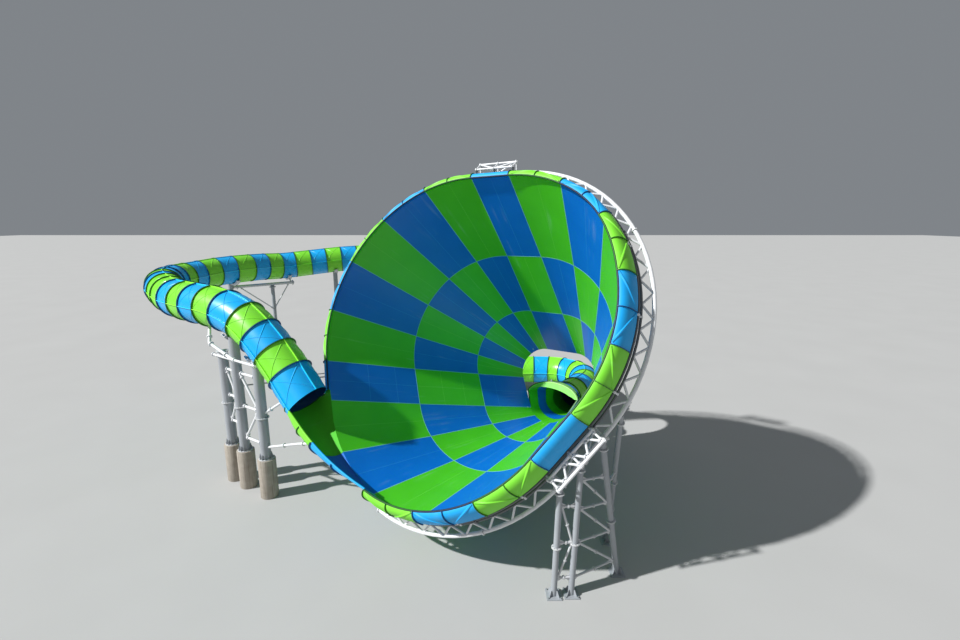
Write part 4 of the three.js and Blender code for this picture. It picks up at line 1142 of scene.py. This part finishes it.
# A line of painted shade along the lip's inner edge: each panel's colour, darkened.
EDGE_SHADE_LINE = two_tones(
    sealant_bead, "{}_edge_trim", ((0.002, 0.016, 0.055), (0.002, 0.011, 0.04)),
    ((0.008, 0.10, 0.006), (0.006, 0.07, 0.005)),
)


def lip_fall(column):
    """How far the lip has come down at a column: 0 at its full height, 1 at the left and the top."""
    if column < ARC_COLUMNS + 1:
        return 1.0
    share = min(max((column - LIP_FALL[0]) / (LIP_FALL[1] - LIP_FALL[0]), 0), 1)
    return share * share * (3 - 2 * share)


def lip_edge(fall):
    depth = lerp(*LIP_DEPTHS, fall)
    return Vector((MOUTH_RADIUS - LIP_LEAN * depth, depth))


def lip_curve(fall, out=0.0, steps=14):
    """The rolled face of the lip, from its edge over the nose to its back."""
    start = lip_edge(fall) + Vector((0.045, 0.045))
    nose = Vector((lerp(*LIP_NOSES, fall), start.y + 0.035))
    points = []
    for step in range(steps + 1):
        t = step / steps
        spot = start * (1 - t) ** 2 + nose * (2 * t * (1 - t)) + LIP_BACK * t ** 2
        along = ((nose - start) * (1 - t) + (LIP_BACK - nose) * t).normalized()
        points.append(spot + Vector((-along.y, along.x)) * out)
    return points


def lip_outline(fall):
    edge = lip_edge(fall)
    start = Vector((MOUTH_RADIUS, 0.002))
    front = [start, edge, edge + Vector((0.014, 0.03)), *lip_curve(fall)]
    back = reversed(lip_curve(fall, -LIP_SHEET))
    return [*front, *back, edge + Vector((0.03, -0.01)), start + Vector((LIP_SHEET, 0))]


def lofted(rows, closed=False, capped=False):
    """A skin bridged from row to row of points."""
    shape = bmesh.new()
    lines = []
    for row in rows:
        corners = [shape.verts.new(point) for point in row]
        pairs = list(zip(corners, corners[1:])) + ([(corners[-1], corners[0])] if closed else [])
        lines.append([shape.edges.new(pair) for pair in pairs])
    for before, after in zip(lines, lines[1:]):
        bmesh.ops.bridge_loops(shape, edges=before + after)
    if capped:
        bmesh.ops.edgenet_fill(shape, edges=lines[0])
        bmesh.ops.edgenet_fill(shape, edges=lines[-1])
    return shape


def lip_run(column):
    """Places over one column's width, each with the fall of the lip there."""
    arc, step = divmod(column, ARC_COLUMNS + 1)
    if step == ARC_COLUMNS:
        places = strip_places(arc, LIP_STEPS)[:-1 if column == ARC_COLUMNS else None]
    else:
        start = ARC_STARTS[arc] + COLUMN_ANGLE * step
        places = [station(arc, start + COLUMN_ANGLE * part / LIP_STEPS) for part in range(LIP_STEPS + 1)]
    return [(place, lip_fall(column + part / LIP_STEPS)) for part, place in enumerate(places)]


def lip_sheet(piece, run, tone):
    shape = lofted([placed(place, lip_outline(fall)) for place, fall in run], closed=True, capped=True)
    bmesh.ops.recalc_face_normals(shape, faces=shape.faces[:])
    mouth = FUNNEL.inverted()
    for face in shape.faces:
        local = mouth @ face.calc_center_median()
        leg = mouth.to_3x3() @ face.normal
        inward = leg.x * local.x + leg.y * local.y < -0.5 * Vector((local.x, local.y)).length
        face.material_index = piece.number((INSIDE if inward else LIP_FACE)[tone])
    piece.take(shape)


def lip_flange(piece, place, fall, tone):
    """A raised flange across the lip, following its curl, with its bolts, both in painted shade."""
    outline = [*lip_curve(fall, -LIP_SHEET), *reversed(lip_curve(fall, LIP_FLANGE))]
    piece.add(plate(outline, place, LIP_FLANGE_THICK), FLANGE_SHADE[tone])
    spots = placed(place, lip_curve(fall, LIP_FLANGE * 0.6)[1:-1:2])
    bolts(piece, spots, facing(place), LIP_FLANGE_THICK + 0.035, PANEL_BOLT_RADIUS, FLANGE_SHADE[tone])


def lip_rib(piece, column, leaning, tone, steps=12):
    """A folded rib over one column's width, between an inner and an outer corner of the lip."""
    arc, start = divmod(column, ARC_COLUMNS + 1)
    path = []
    for step in range(1, steps):
        share = (step - 0.4) / (steps - 0.8)
        share = share if leaning else 1 - share
        fall = lip_fall(column + share)
        place = station(arc, ARC_STARTS[arc] + COLUMN_ANGLE * (start + share))
        spot, over = placed(place, (lip_curve(fall, 0, steps)[step], lip_curve(fall, 0.1, steps)[step]))
        path.append((spot, (over - spot).normalized()))
    piece.add(swept(LIP_FOLD, along_path(path)), LIP_FACE[tone])


def along_path(path):
    """Places along a line of spots and normals: Y on the normal, Z along the line."""
    places = []
    for step, (spot, normal) in enumerate(path):
        before, after = path[max(step - 1, 0)][0], path[min(step + 1, len(path) - 1)][0]
        along = (after - before).normalized()
        across = normal.cross(along).normalized()
        places.append(set_square(spot, across, along.cross(across), along))
    return places


def edge_step(piece, run, tone):
    """The upturned outer edge of the leg, in painted shade: a darker line along the lip."""
    rows = [placed(place, rounded(EDGE_STEP, lip_edge(fall) + EDGE_SHIFT, 10)) for place, fall in run]
    piece.add(lofted(rows, closed=True, capped=True), EDGE_SHADE_LINE[tone])


def lip_cell(piece, cell):
    first, last = cell_columns(cell)
    tone = cell_tone(0, cell)
    for column in range(first, last):
        run = lip_run(column)
        lip_sheet(piece, run, tone)
        lip_flange(piece, *run[0], tone)
        edge_step(piece, run, tone)
        if last - first == 2:
            lip_rib(piece, column, column == first, tone)


for place, (first, last) in LIP_PARTS.items():
    lip = Piece()
    for cell in range(first, last):
        lip_cell(lip, cell)
    slot = "green_panel" if place == "right" else "blue_panel"
    lip.fit(f"rim_lip_{place}_mouldings", f"rim_lip_{place}", slot)

# Slide tubes. Raft tubes of glass fibre, two and a half metres across, in bands that are blue and green by
# turns. Each band is four curved panels, bolted together along raised seams at the crown, the belly and both
# sides, with a flange at each end and two crossed ribs pressed into the back of every panel.
QUARTER_STEPS = 11
TUBE_SHEET = 0.018
SEAM_HEIGHT = 0.075
SEAM_HALF = 0.024
RING_FLANGE = 0.095
RING_THICK = 0.05
RING_BOLT_RADIUS = 0.014
BAND_STEP = 0.35
RIB_STEPS = 8
PANEL_FOLD = ((-0.05, -0.010), (-0.012, 0.020), (0.012, 0.020), (0.05, -0.010))
INLET_JOINTS = [0, 1.8, 3.45, 4.95, 6.42, 8.2, 9.8, 11.35, 12.84]
INLET_NODES = ("end", "drop", "loop_front", "loop_back", "bend_back", "far", "start")
BANDS_PER_NODE = 4
SWAPPED_BANDS = (10, 14)
TUBE_END = Matrix.Translation((0, 0, 0.12))
TUBE_END[2][0] = 0.10
# The tubes' insides are painted shade: the panel colours darkened as they look in the shade inside a tube.
TUBE_INSIDE_SHADE = two_tones(
    gel_coat, "tube_inside_{}_gel", ((0.004, 0.05, 0.20), (0.003, 0.035, 0.15)),
    ((0.03, 0.25, 0.01), (0.02, 0.19, 0.008)), 0.4,
)
# The raised tube seams and the collar brim's edge are painted highlight: the panel colours lightened where
# light catches a ridge.
TUBE_SEAM_HIGHLIGHT = two_tones(
    gel_coat, "{}_seam_gel", ((0.02, 0.68, 1.0), (0.015, 0.58, 0.95)),
    ((0.36, 0.95, 0.06), (0.30, 0.88, 0.05)),
)


def quarter_outline(inner, outer, quarter):
    return crescent(outer, inner, 90 * quarter + 45, 45, QUARTER_STEPS)


def seam_outline(quarter):
    """The pair of side flanges where a quarter starts, as one raised strip."""
    turn = Matrix.Rotation(radians(90 * quarter), 2)
    low, high = TUBE_RADIUS - 0.004, TUBE_RADIUS + SEAM_HEIGHT
    corners = ((low, -SEAM_HALF), (high, -SEAM_HALF), (high, SEAM_HALF), (low, SEAM_HALF))
    return [turn @ Vector(corner) for corner in corners]


def crossed_rib(piece, route, start, end, quarter, mirrored, finish):
    """A pressed rib over a panel, from a corner to the corner across from it."""
    path = []
    for step in range(RIB_STEPS + 1):
        share = 0.05 + 0.9 * step / RIB_STEPS
        swing = radians(90 * (quarter + (1 - share if mirrored else share)))
        place = route.place(lerp(start, end, share))
        out = (place.to_3x3() @ Vector((cos(swing), sin(swing), 0))).normalized()
        path.append((place.translation + out * TUBE_RADIUS, out))
    piece.add(swept(PANEL_FOLD, along_path(path)), finish)


def seam_bolts(piece, route, start, end, quarter):
    turn = radians(90 * quarter)
    reach = Vector((cos(turn), sin(turn), 0)) * (TUBE_RADIUS + SEAM_HEIGHT * 0.6)
    across = Vector((-sin(turn), cos(turn), 0))
    for step in range(int((end - start) / BOLT_PITCH)):
        spot = route.place(start + 0.2 + BOLT_PITCH * step)
        bolts(piece, [spot @ reach], spot.to_3x3() @ across, SEAM_HALF * 2 + 0.035, PANEL_BOLT_RADIUS)


def tube_band(piece, route, start, end, tone, last):
    """One band of a tube, with its panels, flanges, ribs and bolts; the last one is cut at a slant."""
    steps = max(2, round((end - start) / BAND_STEP))
    places = [route.place(start + (end - start) * step / steps) for step in range(steps + 1)]
    if last:
        places[-1] = places[-1] @ TUBE_END
    middle = route.place((start + end) / 2).translation
    for quarter in range(4):
        panel = swept(quarter_outline(TUBE_RADIUS - TUBE_SHEET, TUBE_RADIUS, quarter), places)
        # Each panel is in painted shade on its inner face and in its own colour on its outer face.
        add_two_faced(piece, panel, TUBE_INSIDE_SHADE[tone], OUTSIDE[tone], middle)
        # Seam strips in painted highlight.
        piece.add(swept(seam_outline(quarter), places), TUBE_SEAM_HIGHLIGHT[tone])
        for mirrored in (False, True):
            crossed_rib(piece, route, start, end, quarter, mirrored, OUTSIDE[tone])
        seam_bolts(piece, route, start, end, quarter)
        for length, side in ((start, 1), (end, -1))[:1 if last else 2]:
            ring = quarter_outline(TUBE_RADIUS - 0.005, TUBE_RADIUS + RING_FLANGE, quarter)
            faces = [route.place(length + side * depth) for depth in (0.001, RING_THICK / 2)]
            # The end flange rings are in painted shade.
            piece.add(swept(ring, faces), FLANGE_SHADE[tone])
    place = route.place(start)
    spots = placed(place, arc_points(TUBE_RADIUS + RING_FLANGE * 0.6, 6, 354, 24))
    bolts(piece, spots, facing(place), RING_THICK + 0.045, RING_BOLT_RADIUS)


def tube_pieces(prefix, nodes, route, joints, tones):
    """The pieces of a tube, four bands to each, between joints that are given by their length along it."""
    for order, node in enumerate(nodes):
        tube = Piece()
        for band in range(order * BANDS_PER_NODE, (order + 1) * BANDS_PER_NODE):
            start, end = sorted(joints[band:band + 2])
            tube_band(tube, route, start, end, tones[band], route is INLET and band == 0)
        tube.fit(f"{prefix}_{node}_bands", f"{prefix}_{node}", "green_panel" if order % 2 else "blue_panel")


def inlet_stations():
    """Distances from the tube's end to its joints: measured ones first, then even ones node by node."""
    per_node = INLET.length / len(INLET_NODES)
    later = [per_node * (2 + step / BANDS_PER_NODE) for step in range(1, BANDS_PER_NODE * 5 + 1)]
    return [*INLET_JOINTS, *later]


inlet_joints = [INLET.length - distance for distance in inlet_stations()]
inlet_tones = [
    "green" if (band + sum(band >= swap for swap in SWAPPED_BANDS)) % 2 else "blue"
    for band in range(len(inlet_joints) - 1)
]
tube_pieces("inlet_tube", INLET_NODES, INLET, inlet_joints, inlet_tones)

EXIT_ROUTE = [
    (15.29, 0.342, 2.45), (16.54, 2.142, 2.37), (17.64, 4.342, 2.28), (17.59, 6.742, 2.19),
    (15.99, 8.492, 2.1), (13.34, 9.142, 2.01), (10.44, 8.992, 1.93), (7.64, 8.542, 1.85),
]
EXIT = Route(EXIT_ROUTE)
EXIT_NODES = ("first", "bend", "last")

exit_bands = BANDS_PER_NODE * len(EXIT_NODES)
exit_joints = [EXIT.length / exit_bands * band for band in range(exit_bands + 1)]
tube_pieces("exit_tube", EXIT_NODES, EXIT, exit_joints, ("green", "blue") * (exit_bands // 2))

# Entry chute. An open moulding that takes the raft from the round tube to the funnel: it starts as the outer
# and lower side of the tube and flattens into the rim. Green to its first joint, then blue, with a lip along
# its front edge. A small plate closes its upper corner against the tube's end.
CHUTE_ANGLES = (210, 258)
CHUTE_SPREAD = (-117, 60)
CHUTE_FRONT = 2.35
CHUTE_FLARE = 1.4
CHUTE_BULGE = 1.5
CHUTE_FADE = 1.3
CHUTE_TUCK = 0.2
CHUTE_SLANT = 0.72
CHUTE_POINTS = 24
RIM_POINTS = 3
STRAIGHT_SHARE = 0.2
CHUTE_SHEET = 0.03
CHUTE_PARTS = (("green", 0.0, 0.5, 10), ("blue", 0.505, 1.0, 8))
CHUTE_JOINT = 0.56
CHUTE_LIP = 0.06
CHEEK_SHEET = 0.02
CHEEK_END = 0.4
CHEEK_BACK = (8.56, -0.045)
RAFT_SIDE = on_section(1, 232, 6.0, 0.5)


def tube_end_row():
    """Points across the chute where it meets the tube: from the rim, round the outer side of its end."""
    end = INLET.place(INLET.length)
    heading = facing(end)
    inward = on_section(1, CHUTE_ANGLES[0], 0, 0) - end.translation
    inward = (inward - heading * inward.dot(heading)).normalized()
    forward = heading.cross(inward).normalized()
    if forward.dot(OUTWARD) < 0:
        forward = -forward
    rim = on_strip(0, 0.6, MOUTH_RADIUS, 0.001)
    radius = TUBE_RADIUS - 0.045
    points = []
    for step in range(CHUTE_POINTS + 1):
        swing = radians(lerp(*CHUTE_SPREAD, max(step, RIM_POINTS) / CHUTE_POINTS))
        spot = end.translation - inward * radius * cos(swing) + forward * radius * sin(swing)
        points.append(rim.lerp(spot, min(step / RIM_POINTS, 1)))
    return points


TUBE_END_ROW = tube_end_row()


def chute_point(step, share):
    """A point across the chute at a share of its length; before the first full row it runs from the tube."""
    if share < STRAIGHT_SHARE:
        return TUBE_END_ROW[step].lerp(chute_point(step, STRAIGHT_SHARE), share / STRAIGHT_SHARE)
    sweep = pi * step / CHUTE_POINTS
    across = (1 - cos(sweep)) / 2
    bulge = CHUTE_BULGE * (1 - share) ** CHUTE_FADE * sin(sweep) * (1 - CHUTE_TUCK * across)
    front = lip_edge(0).x + CHUTE_FLARE * (1 - share) ** 2
    depth = lerp(0, lerp(CHUTE_FRONT, LIP_DEPTHS[0], share), across)
    return on_section(1, lerp(*CHUTE_ANGLES, share), lerp(MOUTH_RADIUS, front, across) + bulge, depth + 0.001)


def chute_row(share):
    """A row across the chute that stands further back along its front edge than along the rim."""
    front = share - CHUTE_SLANT * share ** 2 * (1 - share)
    shares = [lerp(share, front, (1 - cos(pi * step / CHUTE_POINTS)) / 2) for step in range(CHUTE_POINTS + 1)]
    return [chute_point(step, here) for step, here in enumerate(shares)]


def thickened(shape, thick, towards):
    """Give a skin its thickness on the side away from a point."""
    bmesh.ops.recalc_face_normals(shape, faces=shape.faces[:])
    face = shape.faces[0]
    if face.normal.dot(towards - face.calc_center_median()) < 0:
        bmesh.ops.reverse_faces(shape, faces=shape.faces[:])
    bmesh.ops.solidify(shape, geom=shape.faces[:], thickness=thick)
    return shape


# The chute's riding side is a little darker than the funnel's inside: painted shade from its own wall.
CHUTE_INSIDE_SHADE = two_tones(
    gel_coat, "chute_{}_gel", ((0.004, 0.17, 0.66), (0.003, 0.13, 0.54)),
    ((0.07, 0.55, 0.012), (0.055, 0.45, 0.009)), 0.62,
)
CHUTE_FLANGE = ((-0.022, 0.02), (0.022, 0.02), (0.022, 0.11), (-0.022, 0.11))


def chute_flange(piece, row, tone):
    """A raised flange under one joint of the chute, in painted shade."""
    path = [(spot, (spot - RAFT_SIDE).normalized()) for spot in row]
    piece.add(swept(CHUTE_FLANGE, along_path(path)), FLANGE_SHADE[tone])


def chute_lip(piece, rows, tone):
    """The rolled front edge, from the tube's width at one end to the rim lip's at the other."""
    path = [(row[-1], OUTWARD) for row in rows]
    piece.add(swept(rounded(CHUTE_LIP, (0, 0), 12), along_path(path)), OUTSIDE[tone])


chute = Piece()
for tone, first, last, count in CHUTE_PARTS:
    rows = [chute_row(lerp(first, last, step / count)) for step in range(count + 1)]
    shell = thickened(lofted(rows), CHUTE_SHEET, RAFT_SIDE)
    add_two_faced(chute, shell, CHUTE_INSIDE_SHADE[tone], OUTSIDE[tone], RAFT_SIDE)
    chute_lip(chute, rows, tone)
    for row in (rows[0], rows[round(count * CHUTE_JOINT)], rows[-1]):
        chute_flange(chute, row, tone)
lip_end = [on_strip(0, CHEEK_END, *corner) for corner in ((MOUTH_RADIUS, 0.001), CHEEK_BACK)]
cheek = lofted([lip_end, [TUBE_END_ROW[0], TUBE_END_ROW[1].lerp(TUBE_END_ROW[2], 0.6)]])
# The cheek plate is in the chute's painted shade green.
chute.add(thickened(cheek, CHEEK_SHEET, RAFT_SIDE), CHUTE_INSIDE_SHADE["green"])
chute.fit("entry_chute_mouldings", "entry_chute", "green_panel")

# Exit collar. A moulding that gathers the small end of the funnel, under an arch, into the round exit tube.
# It is made in three bands with a raised flange at each joint.
ARCH_HALF_WIDTH = 2.08
ARCH_SPRING = -1.26
ARCH_RISE = 1.15
ARCH_STEPS = 16
COLLAR_CENTRE_Y = -1.9
BRIM = 0.42
BRIM_SHEET = 0.02
BRIM_EDGE = 0.035
COLLAR_TONES = ("green", "blue", "green")
COLLAR_SHEET = 0.025
COLLAR_FLANGE = 0.1
COLLAR_FLANGE_SHARE = 0.012


def arch_spot(step, out, depth):
    """A point on the arch, in the funnel's own directions."""
    turn = pi * step / ARCH_STEPS
    return Vector(((ARCH_HALF_WIDTH + out) * cos(turn), ARCH_SPRING + (ARCH_RISE + out) * sin(turn), depth))


def collar_front(out=0.0):
    """The collar's front: the lowest arc of the small end, closed over by the arch."""
    depth = -ROW_DEPTHS[3] - 0.002
    points = [on_section(1, ARC_STARTS[1] + 4 * step, ROW_RADII[3] + out, depth) for step in range(31)]
    return points + [FUNNEL @ arch_spot(step, out, depth) for step in range(1, ARCH_STEPS)]


def collar_back(out=0.0):
    back = EXIT.place(0)
    points = []
    for point in collar_front():
        local = FUNNEL.inverted() @ point
        turn = atan2(local.y - COLLAR_CENTRE_Y, local.x)
        radius = TUBE_RADIUS - 0.02 + out
        points.append(back @ Vector((radius * cos(turn), radius * sin(turn), 0)))
    return points


def between(first, second, share):
    """The points a share of the way from one row of points to another."""
    return [here.lerp(there, share) for here, there in zip(first, second)]


collar = Piece()
skin_rows = (collar_front(), collar_back())
wide_rows = (collar_front(COLLAR_FLANGE), collar_back(COLLAR_FLANGE))
front_middle, back_middle = [sum(row, Vector()) / len(row) for row in skin_rows]
middle_spot = front_middle.lerp(back_middle, 0.5)
for order, tone in enumerate(COLLAR_TONES):
    shares = [(order + step / 4) / len(COLLAR_TONES) for step in range(5)]
    skin = lofted([between(*skin_rows, share) for share in shares], closed=True)
    shell = thickened(skin, COLLAR_SHEET, middle_spot)
    add_two_faced(collar, shell, INSIDE[tone], OUTSIDE[tone], middle_spot)
    for share in (shares[0], shares[-1] - COLLAR_FLANGE_SHARE):
        near, far = [between(*skin_rows, reach) for reach in (share, share + COLLAR_FLANGE_SHARE)]
        wide_near, wide_far = [between(*wide_rows, reach) for reach in (share, share + COLLAR_FLANGE_SHARE)]
        ring = lofted([near, wide_near, wide_far, far, near], closed=True)
        bmesh.ops.remove_doubles(ring, verts=ring.verts[:], dist=0.0005)
        # The joint flanges are in painted shade.
        collar.add(ring, FLANGE_SHADE[tone])
brim_rows, brim_edge = [], []
for step in range(1, ARCH_STEPS):
    turn = pi * step / ARCH_STEPS
    out = Vector((cos(turn), sin(turn), 0))
    edge = arch_spot(step, 0, -ROW_DEPTHS[3] - 0.03)
    wide = (0.06 + BRIM * sin(0.75 * (pi - turn))) * min(1, 2 * sin(turn))
    brim_rows.append([FUNNEL @ edge, FUNNEL @ (edge - out * wide)])
    brim_edge.append((FUNNEL @ edge, OUTWARD))
collar.add(thickened(lofted(brim_rows), BRIM_SHEET, middle_spot), SEAM["green"])
# The brim's rolled edge is in painted highlight.
collar.add(swept(rounded(BRIM_EDGE, (0, 0), 10), along_path(brim_edge)), TUBE_SEAM_HIGHLIGHT["green"])
collar.fit("exit_collar_mouldings", "exit_collar", "green_panel")

# Exit supports. Low goalpost frames of painted pipe under the exit tube, each leg on its own base plate.
EXIT_SHARES = (0.22, 0.55, 0.93)
EXIT_POST_OFFSET = 1.1
EXIT_BASE = 0.4

for order, share in enumerate(EXIT_SHARES, 1):
    support = Piece()
    under = EXIT.place(EXIT.length * share)
    centre = under.translation
    side = under.to_3x3() @ Vector((EXIT_POST_OFFSET, 0, 0))
    ends = (centre - side, centre + side)
    for end in ends:
        foot = Vector((end.x, end.y, 0))
        crown = Vector((end.x, end.y, centre.z - TUBE_RADIUS * 0.5))
        pipe(support, foot, crown, STRUT_RADIUS, GREY_STEEL, 20)
        base_plate(support, foot, STRUT_RADIUS, EXIT_BASE)
    beam_height = centre.z - TUBE_RADIUS - STRUT_RADIUS * 1.2
    beam_ends = [Vector((end.x, end.y, beam_height)) for end in ends]
    member(support, *beam_ends, STRUT_RADIUS, GREY_STEEL, (0.15, 0.85))
    support.fit(f"exit_support_{order}_pipes", f"exit_support_{order}", "grey_steel")

# Studio. A wide pale floor and sky, one large soft light high on the left and the photograph's camera.
FLOOR_SIZE = 900
SKY_COLOUR = (0.80, 0.86, 0.93, 1)
SKY_STRENGTH = 0.27
SUN_HEADING = Vector((0.735, 0.268, -0.623))
SUN_STRENGTH = 5.2
SUN_SPREAD = 1.5
CAMERA_SPOT = Vector((8.24, -36.758, 16.8))
CAMERA_PITCH = -12
CAMERA_LENS = 18

pale = Finish("pale_floor")
pale.surface(pale.mix(pale.noise(6.0, 3), (0.44, 0.44, 0.43), (0.48, 0.48, 0.47)), 0.9)
floor_mesh = bpy.data.meshes.new("studio_floor")
floor_shape = bmesh.new()
bmesh.ops.create_grid(floor_shape, x_segments=1, y_segments=1, size=FLOOR_SIZE / 2)
floor_shape.to_mesh(floor_mesh)
floor_shape.free()
floor_mesh.materials.append(pale.material)
floor = in_scene("studio_floor", floor_mesh)

world = bpy.data.worlds.new("studio")
world.use_nodes = True
sky = world.node_tree.nodes["Background"].inputs
sky["Color"].default_value = SKY_COLOUR
sky["Strength"].default_value = SKY_STRENGTH
bpy.context.scene.world = world

sun_data = bpy.data.lights.new("soft_sun", "SUN")
sun_data.energy = SUN_STRENGTH
sun_data.angle = radians(SUN_SPREAD)
sun = in_scene("soft_sun", sun_data)
sun.rotation_euler = SUN_HEADING.to_track_quat("-Z", "Y").to_euler()

camera_data = bpy.data.cameras.new("camera")
camera_data.lens = CAMERA_LENS
camera_data.sensor_width = 36
camera_data.clip_end = 2000
camera = in_scene("camera", camera_data)
camera.location = CAMERA_SPOT
camera.rotation_euler = (radians(90 + CAMERA_PITCH), 0, 0)
bpy.context.scene.camera = camera
bpy.context.scene.view_settings.view_transform = "Standard"
